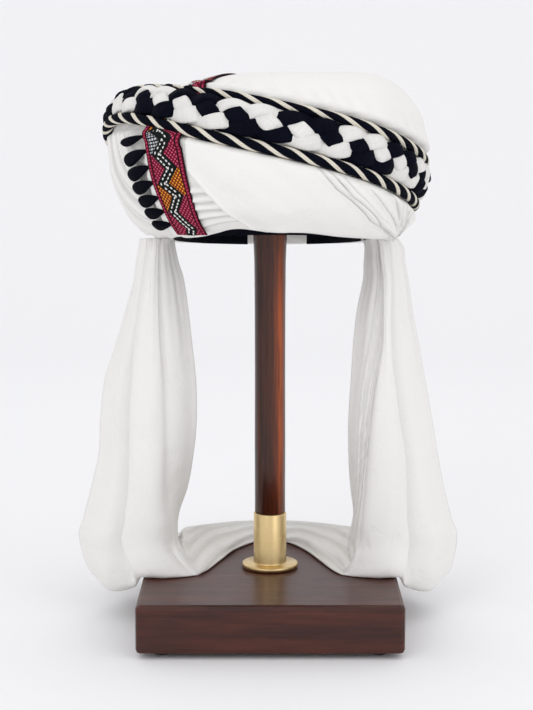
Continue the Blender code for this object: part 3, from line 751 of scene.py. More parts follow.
wrap = {
    "rows": 110,
    "columns": 290,
    "thickness": 0.0013,
    "width": 0.24,  # about, to turn shares into metres near the edges
    "height": 0.09,
    "slope": 0.62,  # of the long folds, metres down to a metre right
    "foldDepth": 0.0010,
    "creaseFactor": 1.5,
    "creaseWidth": 0.0009,
    "beadWidth": 0.0030,  # of the fold that stands beside each crease
    "beadPlace": 0.0026,
    "gatherDepth": 0.0012,
    "gatherPlace": 0.156,
    "leftEdge": (
        (0.00, -7.5), (0.07, -9.5), (0.19, -13.3), (0.38, -18.1), (0.55, -23.2), (0.70, -27.6), (1.00, -28.2),
    ),
    "rightEdge": ((0.00, 67.0), (0.20, 71.0), (0.42, 74.5), (0.64, 78.0), (1.00, 82.0)),
    "creases": (  # theta in degrees and share of the rise, and the depth of each
        (((11.0, 0.48), (14.0, 0.429), (22.2, 0.290), (38.9, 0.112), (58.0, 0.020)), 0.0011),
        (((15.0, 0.46), (18.4, 0.396), (27.9, 0.254), (45.2, 0.090), (60.0, 0.022)), 0.0013),
        (((23.0, 0.37), (29.1, 0.278), (42.1, 0.138), (61.0, 0.030)), 0.0008),
        (((34.0, 0.30), (45.0, 0.180), (62.0, 0.040)), 0.0008),
        (((47.0, 0.27), (54.0, 0.170), (63.0, 0.050)), 0.0010),
        (((59.0, 0.24), (62.0, 0.150), (65.0, 0.050)), 0.0009),
    ),
}


def makeWrap():
    # a grid between the two side edges, from the rim up to the lower rope
    up = np.linspace(0, 1, wrap["rows"])[:, None]
    along = np.linspace(0, 1, wrap["columns"])
    start = np.interp(up, *np.array(wrap["leftEdge"]).T)
    end = np.interp(up, *np.array(wrap["rightEdge"]).T)
    degrees = start + (end - start) * along
    theta = np.radians(degrees)
    top = braidLength(theta) - grooveBottom - 0.35 * turban["grooveRamp"]
    length = 0.0012 + (top - 0.0012) * up
    phi = np.interp(length, outlineLength, outlinePhi)
    _, _, rise = coordinates(outside(theta, phi))
    x, y = turban["meanRadius"] * theta, turban["height"] * rise
    # long tension folds slope down to the right, and gather towards the right end
    slant = x * wrap["slope"] + y
    relief = wrap["foldDepth"] * np.sin(slant * 96 + 1.9 * softNoise(31, x, y, 20, 5))
    relief = relief * smooth(along * 5) * smooth((1 - along) * 3)
    relief = relief + 0.0003 * softNoise(33, slant * 2.0, (y - x * wrap["slope"]) * 0.4, 110, 6)
    for line, depth in wrap["creases"]:
        signed, share = routeDistance(x, y, inMetres(line))
        fade = smooth(share * 6 + 0.15)
        bead = bell((signed - wrap["beadPlace"]) / wrap["beadWidth"])
        proud = 1.2 * bead - 0.9 * bell(signed / wrap["creaseWidth"])
        relief = relief + wrap["creaseFactor"] * depth * fade * proud
    fan = np.arctan2(y - 0.002, 0.158 - x)
    gather = bell((x - wrap["gatherPlace"]) / 0.040) * smooth((0.060 - y) / 0.045)
    relief = relief + wrap["gatherDepth"] * gather * np.sin(fan * 26)
    # edges lie down on the cloth below, the left one as a soft roll
    edge = np.minimum(np.minimum(along, 1 - along) * wrap["width"], np.minimum(up, 1 - up) * wrap["height"])
    roll = 0.0008 * bell((along * wrap["width"] - 0.0030) / 0.0024)
    lift = 0.0016 + wrap["thickness"] / 2 + relief * smooth(edge / 0.004) + roll
    lift = lift - 0.0011 * (1 - smooth(edge / 0.003))
    middle = drawnUp(onTurban(theta, phi, lift))
    thickness = wrap["thickness"] * (0.35 + 0.65 * np.sqrt(np.clip(edge / 0.0015, 0, 1)))
    runs = np.stack([x + 0 * y, length], axis=-1)
    piece = shell("front_sheet", middle, thickness, whiteCotton, runs)
    # painted shade: the valleys of the relief, kept in a layer for the cloth's colour
    addLayer(piece, "foldShade", bothSides(valleys(relief, 2, wound["shadeDepth"])))
    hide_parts("front_wrap")


makeWrap()
print("front sheet made")


# Braid

plait = {
    "turns": 9,  # periods round the turban
    "shift": 0.708,
    "swing": 0.0090,  # of each strand to each side
    "halfWidth": 0.0067,
    "halfThickness": 0.0029,
    "weaveLift": 0.0025,
    "turnNarrow": 0.20,
    "girth": 0.032,  # round the section, for its map
    "stations": 760,
    "sides": 18,
}


def braidPlaces(theta, sideways, lift):
    # points beside the plait's middle line by these distances, raised off the grooved cloth;
    # over the left of the front the braid opens wider and its upper side stands proud
    wide = bell((theta - braid["spreadPlace"]) / braid["spreadReach"])
    lift = lift + braid["spreadLift"] * wide * (0.5 + sideways / (2 * plaitEdge))
    sideways = sideways * (1 + braid["spread"] * wide)
    phi = phiAt(theta, braidHeight(theta))
    line = outside(theta, phi)
    step = 1e-3
    ahead, behind = theta + step, theta - step
    tangent = unit(outside(ahead, phiAt(ahead, braidHeight(ahead)))
                   - outside(behind, phiAt(behind, braidHeight(behind))))
    across = np.cross(normalAt(line), tangent)
    return lifted(line + across * np.asarray(sideways)[..., None], lift)


def braidRun():
    # theta at many places round the plait's middle line, and how far along it each one lies
    theta = np.linspace(-math.pi, math.pi, 4001)
    return theta, lengthTo(braidPlaces(theta, 0.0, 0.004))


runTheta, runLength = braidRun()
braidTotal = runLength[-1]


def aheadOf(path):
    # the direction of a closed line at each of its points
    return unit(np.roll(path, -1, axis=0) - np.roll(path, 1, axis=0))


def rounded(values, power):
    return np.sign(values) * np.abs(values) ** power


def makeStrand(index, material):
    # swings from edge to edge and rises over every other strand that it meets
    stations = plait["stations"]
    place = np.linspace(0, 1, stations, endpoint=False)
    phase = 2 * math.pi * (place * plait["turns"] + plait["shift"]) + index * math.pi / 2
    sideways = plait["swing"] * np.sin(phase) * (1 + 0.04 * np.sin(phase) ** 2)
    lift = 0.0050 - plait["weaveLift"] * np.cos(3 * phase)
    theta = np.interp(place * braidTotal, runLength, runTheta)
    path = braidPlaces(theta, sideways, lift)
    raised = braidPlaces(theta, sideways, lift + 0.001)
    tangent = aheadOf(path)
    normal = unit(raised - path)
    across = unit(np.cross(normal, tangent))
    # the section tilts at the turns, where the strand folds over its own edge
    tilt = 0.5 * np.sin(phase) * np.abs(np.sin(phase))
    across = across * np.cos(tilt)[:, None] - normal * np.sin(tilt)[:, None]
    normal = unit(np.cross(tangent, across))
    width = 1 - plait["turnNarrow"] * np.sin(phase) ** 4 + 0.03 * np.sin(place * 90 + index)
    thick = 1 + 0.08 * np.sin(place * 130 + 2 * index)
    turn = circle(plait["sides"])
    # soft lengthwise folds of the gathered cloth
    shift = np.sin(2 * math.pi * plait["turns"] * place + index)[:, None]
    folds = 1 + 0.05 * np.sin(5 * turn + 2.5 * shift)
    over = plait["halfWidth"] * width[:, None] * rounded(np.cos(turn), 0.85) * folds
    rise = plait["halfThickness"] * thick[:, None] * rounded(np.sin(turn), 0.8) * folds
    points = path[:, None] + across[:, None] * over[..., None] + normal[:, None] * rise[..., None]
    length = np.linspace(0, braidTotal, stations + 1)
    piece = hoop(f"plait_strand_{index + 1}", points, length, plait["girth"], material)
    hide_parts("plait")


for index, made in enumerate((whiteStrand, whiteStrand, blackStrand, blackStrand)):
    makeStrand(index, made)
print("plait made")

ropes = {
    "plySpread": 0.34,
    "plySize": 0.64,
    "plyFlat": 1.15,  # times wider than thick
    "pipingSize": 0.00092,
    "pipingReach": 0.80,
    "stations": 900,
}


def makeRope(name, offset, diameter, turns, phase):
    # two black plies with a pair of cream cords in each groove between them, all wound together
    place = np.linspace(0, 1, ropes["stations"], endpoint=False)
    theta = np.interp(place * braidTotal, runLength, runTheta)
    radius = diameter / 2
    lift = radius + 0.0004 - (braid["tuck"] * tuckedAt(theta) if offset > 0 else 0.0)
    middle = braidPlaces(theta, offset, lift)
    beside = unit(braidPlaces(theta, offset + 0.001, lift) - middle)
    raised = unit(braidPlaces(theta, offset, lift + 0.001) - middle)

    def ply(label, turn, reach, halfWidth, halfHeight, material, sides):
        angle = 2 * math.pi * place * turns + phase + turn
        out = beside * np.cos(angle)[:, None] + raised * np.sin(angle)[:, None]
        path = middle + out * reach
        side = unit(np.cross(out, aheadOf(path)))
        around = circle(sides)[:, None]
        points = (path[:, None] + side[:, None] * halfWidth * np.cos(around)
                  + out[:, None] * halfHeight * np.sin(around))
        length = lengthTo(np.append(path, path[:1], axis=0))
        piece = hoop(f"{name}_{label}", points, length, 1.0, material)
        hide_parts(name)

    size = radius * ropes["plySize"]
    for k in (0, 1):
        ply(f"ply_{k + 1}", math.pi * k, radius * ropes["plySpread"], size * ropes["plyFlat"], size,
            blackStrand, 16)
    thin = ropes["pipingSize"]
    spread = thin * 0.98 / radius
    for k, turn in enumerate((0.5 * math.pi - spread, 0.5 * math.pi + spread,
                              1.5 * math.pi - spread, 1.5 * math.pi + spread)):
        ply(f"piping_{k + 1}", turn, radius * ropes["pipingReach"], thin, thin, creamCord, 8)


makeRope("upper_rope", plaitEdge + braid["upperRope"] / 2, braid["upperRope"], 16, -1.0235)
makeRope("lower_rope", -(plaitEdge + braid["lowerRope"] / 2), braid["lowerRope"], 18, -1.3597)
print("ropes made")


# Embroidered band

band = {
    "route": (
        (-0.437, -0.668, 0.00), (-0.520, -0.768, 0.19), (-0.575, -0.804, 0.40), (-0.605, -0.793, 0.64),
        (-0.560, -0.735, 0.82), (-0.450, -0.590, 0.94), (-0.370, -0.200, 0.99), (-0.310, 0.300, 0.99),
        (-0.270, 0.750, 0.92), (-0.250, 0.930, 0.68), (-0.230, 0.930, 0.35), (-0.190, 0.770, 0.00),
    ),
    "width": 0.036,
    "rimWidth": 0.029,
    "taper": 0.065,
    "thickness": 0.0014,
    "ease": 0.0014,
    "bridge": 0.5,  # share of the groove's depth that it spans
    "corners": (0.0105, 0.0268, 0.0398, 0.0502, 0.0611, 0.0733, 0.0830),  # of the zigzag, up from the rim
    "laterLeg": 0.0113,
    "zigzagSwing": 0.31,  # share of the half width
    "zigzagShift": 0.04,  # to the left
    "zigzagWidth": 0.0078,
    "stitchPitch": 0.0026,
    "stitchHalf": (0.00125, 0.00072),
    "stitchRow": 0.0019,  # from the zigzag's middle
}


def bandLine():
    across, along, rise = spline(band["route"], 1200).T
    rim = rimAt(np.arctan2(across, -along))
    height = rim + (turban["crownTop"] - rim) * rise
    points = np.stack([turban["halfWidth"] * across, turban["halfDepth"] * along, height], axis=-1)
    points = lifted(points, 0.0)
    return points, lengthTo(points)


bandPoints, bandLength = bandLine()


def alongBand(distance):
    return np.stack([np.interp(distance, bandLength, bandPoints[:, k]) for k in range(3)], axis=-1)


def bandWidth(distance):
    return band["rimWidth"] + (band["width"] - band["rimWidth"]) * smooth(distance / band["taper"])


def onBand(distance, side, lift):
    # a place on the band: metres from the front rim, and from -1 at its left edge to 1 at its right
    middle = alongBand(distance)
    onward = unit(alongBand(distance + 0.002) - alongBand(distance - 0.002))
    right = -unit(np.cross(normalAt(middle), onward))
    points = middle + right * (side * bandWidth(distance) / 2)[..., None]
    theta, phi, _ = coordinates(points)
    away = awayFromBraid(theta, phi)
    beside = besideGroove(away)
    ease = band["ease"] * smooth(2 * (1.9 - beside))
    bridge = band["bridge"] * turban["grooveDepth"] * smooth(1 - beside) * smooth(4 * beside + 1)
    tucked = (away > 0) * tuckedAt(theta)
    return lifted(points, turban["clearance"] + ease * (1 - 0.7 * tucked) + bridge * (1 - tucked) + lift)


def zigzagLeg(distance):
    # counts the zigzag's corners up from the rim: even at the right, odd at the left
    corners = np.array(band["corners"])
    before, after = corners[0] - 0.0163, corners[-1] + band["laterLeg"] * np.arange(1, 60)
    places = np.concatenate([[before], corners, after])
    return np.interp(distance, places, np.arange(len(places)) - 1.0)


def zigzagSide(distance):
    # triangle wave between the corners
    leg = zigzagLeg(distance)
    wave = np.abs((leg % 2) - 1) * 2 - 1
    return band["zigzagSwing"] * wave - band["zigzagShift"]


def bandMaterial():
    # fields of stitches set out from the band's own map: x counts the zigzag's corners up the band
    # and y goes from -1 to 1 across; the layers "up" and "over", in metres, set the stitches
    material, w, shader, where = newMaterial("embroidery")
    split = w.split(where["UV"])
    leg, side = split[0], split[1]
    up, over = w.attribute("up"), w.attribute("over")
    wave = abs(leg % 2.0 - 1.0)
    off = side - ((wave * 2.0 - 1.0) * band["zigzagSwing"] - band["zigzagShift"])
    stitch = w.hump(up + over, 290.0) * w.hump(up - over, 290.0)
    dots = w.ramp(stitch, 0.52, 0.74)
    threads = w.hump(up + over * 0.2, 900.0)
    ragged = w.noise(where["Object"], 700.0, 3.0)
    # which triangle a place is in, on each side of the zigzag
    onRight = w.calc("GREATER_THAN", off, 0.0)
    onLeft = 1.0 - onRight
    leftCell = w.calc("ROUND", leg * 0.5) * 2.0
    rightCell = w.calc("FLOOR", leg * 0.5) * 2.0 + 1.0

    def chosen(mask, cell, period, wanted):
        return mask * w.calc("COMPARE", cell % period, wanted, 0.25)

    orange = w.calc("MAXIMUM", chosen(onRight, rightCell, 6.0, 3.0), chosen(onLeft, leftCell, 6.0, 2.0))
    slate = chosen(onLeft, leftCell, 12.0, 6.0)
    # painted shade: the crimson is darker between the rows of threads
    crimson = w.mix(threads, (0.09, 0.0015, 0.010), (0.20, 0.004, 0.028))
    pink = w.mix(dots, crimson, (0.64, 0.11, 0.20))
    amber = w.mix(dots, (0.22, 0.030, 0.008), (0.92, 0.40, 0.045))
    bars = w.ramp(w.hump(up, 420.0), 0.5, 0.75) * w.ramp(w.hump(over, 330.0), 0.35, 0.6)
    ink = w.mix(bars, (0.008, 0.009, 0.016), (0.62, 0.64, 0.66))
    field = w.mix(slate, w.mix(orange, pink, amber), ink)
    # zigzag ribbon, the borders with their pink stitches, and thin dark lines beside them
    halfRibbon = band["zigzagWidth"] * 0.80 / band["width"] * 2
    ribbon = w.calc("LESS_THAN", abs(off + (ragged - 0.5) * 0.10), halfRibbon)
    field = w.mix(ribbon, field, (0.006, 0.009, 0.009))
    edge = abs(side)
    piping = w.ramp(w.hump(up, 380.0), 0.45, 0.7) * w.calc("COMPARE", edge, 0.87, 0.045)
    border = w.mix(piping, crimson, (0.44, 0.045, 0.10))
    field = w.mix(w.calc("GREATER_THAN", edge, 0.76), field, border)
    line = w.calc("MAXIMUM", w.calc("COMPARE", edge, 0.765, 0.032), w.calc("GREATER_THAN", edge, 0.955))
    w.feed(shader, {
        "Base Color": w.mix(line, field, (0.016, 0.004, 0.008)),
        "Roughness": w.ramp(ragged, 0.3, 0.7, 0.75, 0.92), "Specular IOR Level": 0.12,
        "Normal": w.bump(stitch * 0.8 + threads * 0.35 + ragged * 0.5, 0.9, 0.0007)})
    return material


embroidery = bandMaterial()


def makeBand():
    distance = np.linspace(0.003, bandLength[-1] - 0.003, 560)
    side = np.linspace(-1, 1, 34)
    far, wide = np.meshgrid(distance, side, indexing="ij")
    # rows of stitches stand a little proud, and the edges are rolled
    zigzag = bell((wide - zigzagSide(far)) * bandWidth(far) / 2 / (band["zigzagWidth"] * 0.45))
    border = smooth((np.abs(wide) - 0.74) / 0.05)
    ripple = 0.00012 * np.sin(far * 1500) * np.sin(wide * 60)
    relief = 0.0003 * zigzag + 0.0002 * border + ripple * (1 - border)
    edge = (1 - np.abs(wide)) * bandWidth(far) / 2
    middle = onBand(far, wide, band["thickness"] / 2 + relief + 0.0003)
    thickness = band["thickness"] * (0.5 + 0.5 * np.sqrt(np.clip(edge / 0.0008, 0, 1)))
    uv = np.stack([zigzagLeg(far), wide], axis=-1)
    piece = shell("embroidered_trim", middle, thickness, embroidery, uv)
    for name, values in (("up", far), ("over", wide * bandWidth(far) / 2)):
        addLayer(piece, name, bothSides(values))
    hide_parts("embroidered_band")


makeBand()


def stitchMaterial(name, colour):
    material, w, shader, where = newMaterial(name)
    fuzz = w.noise(where["Object"], 1500.0, 2.0)
    w.feed(shader, {
        "Base Color": w.mix(fuzz, [c * 0.7 for c in colour], colour),
        "Roughness": w.ramp(fuzz, 0.3, 0.7, 0.6, 0.8), "Normal": w.bump(fuzz, 0.5, 0.0002)})
    return material


whiteThread = stitchMaterial("whiteThread", (0.88, 0.88, 0.84))


def makeStitches():
    # white dashes in two rows along the zigzag: each is one small eight-sided bead
    halfLength, halfWidth = band["stitchHalf"]
    distance = np.arange(0.006, bandLength[-1] - 0.006, band["stitchPitch"])

    def onZigzag(distance, lift):
        return onBand(distance, zigzagSide(distance), lift)

    centre = onZigzag(distance, band["thickness"] + 0.0006)
    run = unit(onZigzag(distance + 0.0012, band["thickness"])
               - onZigzag(distance - 0.0012, band["thickness"]))
    normal = unit(onZigzag(distance, 0.01) - onZigzag(distance, 0.0))
    side = unit(np.cross(normal, run))
    turn = circle(8)[:, None]
    slope = np.array([-1, -0.7, 0, 0.7, 1])[:, None, None]
    size = np.sqrt(1 - slope**2 * 0.98)
    run, normal, side = (way[:, None, None] for way in (run, normal, side))
    bead = (np.cos(turn) * size * side * halfWidth + np.sin(turn) * size * normal * halfWidth * 0.7
            + slope * run * halfLength)
    bead = bead + centre[:, None, None]
    beads = np.concatenate([bead + side * offset for offset in (-band["stitchRow"], band["stitchRow"])])
    count, rings, around = beads.shape[:3]
    quads, _, _ = gridFaces(rings, around)
    ends = [np.arange(around)[::-1][None], ((rings - 1) * around + np.arange(around))[None]]
    first = (np.arange(count) * rings * around)[:, None, None]
    faces = [(part[None] + first).reshape(-1, part.shape[1]) for part in [quads] + ends]
    piece = meshPiece("zigzag_stitches", beads.reshape(-1, 3), faces, whiteThread)


makeStitches()
print("band made")


# Petals

petals = {
    "count": 7,
    "pitch": 0.01285,
    "start": 0.0132,
    "length": 0.0250,
    "growth": 0.0018,
    "width": 0.0110,
    "widthGrowth": 0.0002,
    "topWidth": 1.35,  # times wider, the one beside the rope
    "thickness": 0.0030,
    "droop": 6.0,
}


def makePetals():
    # a drop shape: pointed at the band, a straight upper edge and a full belly towards its tip
    share = np.linspace(0, 1, 30)
    profile = spline(((0.00, 0.06, 0.06), (0.14, 0.17, 0.17), (0.34, 0.30, 0.36), (0.58, 0.37, 0.55),
                      (0.80, 0.36, 0.58), (0.93, 0.26, 0.42), (1.00, 0.08, 0.12)), 200)
    upper, lower = (np.interp(share, profile[:, 0], profile[:, k]) for k in (1, 2))
    across = np.linspace(-1, 1, 15)
    for index in range(petals["count"]):
        place = np.array([petals["start"] + petals["pitch"] * index])
        middle = alongBand(place)[0]
        onward = unit(alongBand(place + 0.002) - alongBand(place - 0.002))[0]
        normal = normalAt(alongBand(place))[0]
        left = unit(np.cross(normal, onward))
        droop = math.radians(petals["droop"])
        away = left * math.cos(droop) - onward * math.sin(droop)
        square = onward * math.cos(droop) + left * math.sin(droop)
        root = middle + left * (bandWidth(place[0]) / 2 - 0.0006)
        length = petals["length"] + petals["growth"] * index
        width = petals["width"] + petals["widthGrowth"] * index
        width = width * (petals["topWidth"] if index == petals["count"] - 1 else 1)
        side = across * np.where(across > 0, upper[:, None], lower[:, None]) * width
        points = root + (away * (share * length)[:, None])[:, None] + square * side[..., None]
        swell = np.sqrt(np.sin(math.pi * np.clip(share * 0.93 + 0.05, 0, 1)))[:, None]
        dome = np.sqrt(np.clip(1 - np.abs(across) ** 2.4, 0, 1)) * swell
        wrinkle = 0.00012 * np.sin(share * 30 + index)[:, None] * np.sin(across * 5 + index) * dome
        top = lifted(points, 0.0004 + petals["thickness"] * dome + wrinkle)
        low = lifted(points, 0.0003)
        rows, columns = len(share), 2 * len(across)
        uv = np.stack(np.meshgrid(np.arange(rows) * length / rows,
                                  np.arange(columns + 1) * width / columns, indexing="ij"), axis=-1)
        piece = pad(f"felt_petal_{index + 1}", top, low, petalCloth, uv, normal)
        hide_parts(f"petal_{index + 1}")


makePetals()
print("petals made")


# Strip inside the mouth

strip = {"rise": -0.0012, "height": 0.026, "gap": 0.054, "turn": 0.0873, "thickness": 0.0012}


def makeStrip():
    # follows the hollow's wall, open at the back, with a slight lean at its lower edge
    halfGap = math.asin(strip["gap"] / turban["headWidth"])
    theta = np.linspace(-math.pi + halfGap, math.pi - halfGap, 300) - strip["turn"]
    up = np.linspace(0, 1, 26)
    turn, share = np.meshgrid(theta, up)
    height = strip["rise"] + strip["height"] * share
    wall = hollowWall(turn, height / (turban["crownTop"] - turban["rim"] - turban["crownWall"]))
    inward = -unit(wall * [1, 1, 0])
    lift = 0.0007 + strip["thickness"] / 2 + 0.0004 * softNoise(41, turn * 0.08, height, 90)
    middle = wall + inward * lift[..., None]
    uv = np.stack([turn * 0.09, height], axis=-1)
    piece = shell("inner_strip", middle, strip["thickness"], blackCotton, uv)
    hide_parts("inner_band")


makeStrip()


# Hanging cloth

tails = {
    "baseTop": 0.0443,
    "baseHalf": (0.1075, 0.118),
    "thickness": 0.0012,
    "rows": 330,
    "columns": 120,
    "foldDepth": 0.0013,
    "fineDepth": 0.0004,
    "unevenness": 0.0013,
    "pleats": (0.20, 0.255, 0.31),  # shares of the way across the right tail
    "pleatDepth": 0.0012,
    "hemDepth": 0.0042,
    "clearance": 0.0004,
    "hangSlope": 2.2,  # how steeply it drops past the base's edge
    # height, then the outer edge, the crease, the ridge and the inner edge across
    "left": (
        (0.3310, -0.1085, -0.1000, -0.0922, -0.0818), (0.3223, -0.1098, -0.1002, -0.0929, -0.0813),
        (0.3085, -0.1127, -0.1016, -0.0920, -0.0783),
        (0.2938, -0.1151, -0.1040, -0.0908, -0.0735), (0.2670, -0.1229, -0.1080, -0.0884, -0.0687),
        (0.2395, -0.1307, -0.1117, -0.0860, -0.0656), (0.2100, -0.1402, -0.1135, -0.0841, -0.0633),
        (0.1760, -0.1450, -0.1151, -0.0847, -0.0635), (0.1460, -0.1472, -0.1155, -0.0853, -0.0659),
        (0.1155, -0.1541, -0.1175, -0.0858, -0.0700), (0.0890, -0.1609, -0.1211, -0.0816, -0.0781),
        (0.0690, -0.1655, -0.1235, -0.0790, -0.0809),
    ),
    "right": (
        (0.3310, 0.1040, 0.0950, 0.0905, 0.0772), (0.3223, 0.1114, 0.0967, 0.0927, 0.0804),
        (0.3085, 0.1135, 0.0975, 0.0934, 0.0798),
        (0.2938, 0.1168, 0.0985, 0.0942, 0.0788), (0.2670, 0.1214, 0.0990, 0.0925, 0.0726),
        (0.2395, 0.1265, 0.1003, 0.0907, 0.0696), (0.2100, 0.1316, 0.1026, 0.0856, 0.0686),
        (0.1760, 0.1382, 0.1063, 0.0822, 0.0674), (0.1460, 0.1438, 0.1113, 0.0795, 0.0673),
        (0.1155, 0.1498, 0.1132, 0.0755, 0.0681), (0.0890, 0.1564, 0.1144, 0.0706, 0.0711),
        (0.0690, 0.1625, 0.1163, 0.0675, 0.0740),
    ),
    # depth of the nine places across, at the neck, half way down and at the base
    "neckDepth": (0.004, -0.003, -0.008, -0.010, -0.011, -0.009, -0.004, -0.002, 0.004),
    "midDepth": (-0.008, -0.020, -0.028, -0.034, -0.036, -0.029, -0.017, -0.011, 0.010),
    "lowDepth": (0.030, 0.006, -0.014, -0.031, -0.037, -0.030, -0.017, -0.012, 0.018),
    # nine places across, from where the cloth reaches the base round to the middle behind the pole
    "swag": (
        ((0.076, 0.034, 0.0700), (0.0745, 0.006, 0.0640), (0.070, -0.018, 0.0545), (0.066, -0.030, 0.0480),
         (0.088, -0.040, 0.0465), (0.1095, -0.036, 0.0450), (0.116, -0.020, 0.0330), (0.138, -0.006, 0.0262),
         (0.154, 0.018, 0.0325)),
        ((0.066, 0.060, 0.0655), (0.064, 0.040, 0.0615), (0.060, 0.012, 0.0540), (0.0555, -0.021, 0.0462),
         (0.072, -0.012, 0.0455), (0.098, 0.006, 0.0455), (0.115, 0.020, 0.0370), (0.129, 0.035, 0.0260),
         (0.135, 0.050, 0.0340)),
        ((0.050, 0.086, 0.0610), (0.049, 0.071, 0.0590), (0.046, 0.046, 0.0540), (0.0420, 0.018, 0.0462),
         (0.058, 0.034, 0.0455), (0.080, 0.050, 0.0458), (0.099, 0.061, 0.0470), (0.106, 0.073, 0.0470),
         (0.102, 0.085, 0.0480)),
        ((0.030, 0.102, 0.0590), (0.030, 0.090, 0.0575), (0.030, 0.072, 0.0530), (0.0310, 0.052, 0.0462),
         (0.042, 0.062, 0.0455), (0.055, 0.074, 0.0458), (0.065, 0.086, 0.0466), (0.070, 0.096, 0.0466),
         (0.067, 0.106, 0.0475)),
        ((0.012, 0.110, 0.0575), (0.012, 0.101, 0.0565), (0.0135, 0.089, 0.0520), (0.0150, 0.079, 0.0462),
         (0.019, 0.085, 0.0455), (0.023, 0.091, 0.0458), (0.027, 0.097, 0.0462), (0.029, 0.103, 0.0462),
         (0.028, 0.109, 0.0468)),
    ),
    "middle": (
        (0, 0.112, 0.0572), (0, 0.103, 0.0562), (0, 0.092, 0.0520), (0, 0.083, 0.0462),
        (0, 0.088, 0.0455), (0, 0.093, 0.0458), (0, 0.099, 0.0462), (0, 0.105, 0.0462),
        (0, 0.111, 0.0468),
    ),
}


def tailRows(table, side):
    # each height gives nine places: inner edge, valley, three on the front lobe, tuck and outer lobe
    rows = []
    for k, (height, outer, crease, ridge, inner) in enumerate(table):
        share = min(1, k / (len(table) - 1) * 2.2)
        stage = k / (len(table) - 1)
        depth = np.array([np.interp(stage, (0, 0.36, 0.68, 1), places) for places in zip(
            tails["neckDepth"], tails["midDepth"], tails["midDepth"], tails["lowDepth"])])
        across = np.array([inner, inner + (ridge - inner) * 0.45, ridge, ridge + (crease - ridge) * 0.22,
                           ridge + (crease - ridge) * 0.62, crease, crease - side * 0.003 * share,
                           (crease + outer) / 2, outer])
        lean = -0.14 * (depth + 0.014)  # rows follow the eye's slope
        rows.append(np.stack([across, depth, height + lean], axis=-1))
    return rows


def makeTails():
    left = tailRows(tails["left"], -1) + [np.array(row) * [-1, 1, 1] for row in tails["swag"]]
    right = tailRows(tails["right"], 1) + [np.array(row) for row in tails["swag"]]
    sections = np.array(left + [np.array(tails["middle"], float)] + right[::-1])
    middle = spline(sections, tails["rows"])
    middle = spline(middle.transpose(1, 0, 2), tails["columns"]).transpose(1, 0, 2)
    share = np.linspace(0, 1, tails["rows"])[:, None]
    across = np.linspace(0, 1, tails["columns"])
    y, z = middle[..., 1], middle[..., 2]
    # long hanging folds: fine near the neck, wider and softer lower down
    down, over = np.gradient(middle, axis=0), np.gradient(middle, axis=1)
    normal = unit(np.cross(down, over))
    free = smooth((z - tails["baseTop"] - 0.004) / 0.05)
    high = smooth((z - 0.20) / 0.11)
    onRight = share > 0.5
    sway = 0.010 * np.sin(z * 31 + np.where(onRight, 1.3, 0.2)) + 0.006 * np.sin(z * 57)
    drift = 0.55 * softNoise(52, across * 0.12 + 0 * z, z, 16, 5)
    folds = np.sin(2 * math.pi * (across * 4.6 + sway * 4) + np.where(onRight, 0.8, 0.0) + drift * 2.4)
    fine = np.sin(2 * math.pi * (across * 13 + sway * 5) + 1.1 + drift * 3)
    relief = free * (tails["foldDepth"] * folds * (0.5 + 0.5 * high) + tails["fineDepth"] * fine * high)
    relief = relief + free * tails["unevenness"] * softNoise(51, across * 0.16 + 0 * z, z, 42, 7)
    # three pressed pleats along the inner side of the right tail
    for place in tails["pleats"]:
        line = place + 0.03 * np.sin(z * 24)
        step = bell((across - line) / 0.008) - 0.8 * bell((across - line + 0.014) / 0.007)
        relief = relief + onRight * free * tails["pleatDepth"] * step
    # stacked folds of the part that lies on the base
    lying = smooth((0.075 - z) / 0.014) * smooth((y + 0.045) / 0.02)
    front = smooth(across * 30) * smooth((0.40 - across) / 0.04)
    hems = np.abs(np.sin(across * math.pi * 9.5 + 0.9 * np.sin(share * 46) + 0.5 * np.sin(share * 83)))
    relief = relief + lying * front * tails["hemDepth"] * (hems - 0.45)
    middle = middle + normal * relief[..., None]
    # it lies on the base, and clears its edges before it hangs lower
    beyond = np.maximum(*(np.abs(middle[..., k]) - tails["baseHalf"][k] for k in (0, 1)))
    lowest = (tails["baseTop"] + tails["thickness"] / 2 + tails["clearance"]
              - tails["hangSlope"] * np.maximum(beyond - 0.0015, 0))
    middle[..., 2] = np.maximum(middle[..., 2], lowest)
    theta, _, _ = coordinates(middle)
    middle[..., 2] = np.minimum(middle[..., 2], rimAt(theta) - tails["clearance"])
    runs = np.cumsum(np.linalg.norm(np.diff(middle, axis=0, prepend=middle[:1]), axis=-1).mean(axis=1))
    wide = np.cumsum(np.linalg.norm(np.diff(middle, axis=1, prepend=middle[:, :1]), axis=-1).mean(axis=0))
    uv = np.stack(np.broadcast_arrays(runs[:, None], wide[None]), axis=-1)
    hem = np.minimum(across, 1 - across) * wide[-1]
    thickness = tails["thickness"] * (1 + 0.5 * (hem < 0.004))
    print("hanging cloth", round(float(wide[-1]), 4), "by", round(float(runs[-1]), 4))
    piece = shell("hanging_cloth", middle, thickness, whiteCotton, uv)
    # painted shade: the valleys of the relief, kept in a layer for the cloth's colour
    addLayer(piece, "foldShade", bothSides(0.4 * valleys(relief, 3, 0.0012)))
    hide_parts("hanging_loop")


makeTails()
print("hanging cloth made")


# Stand

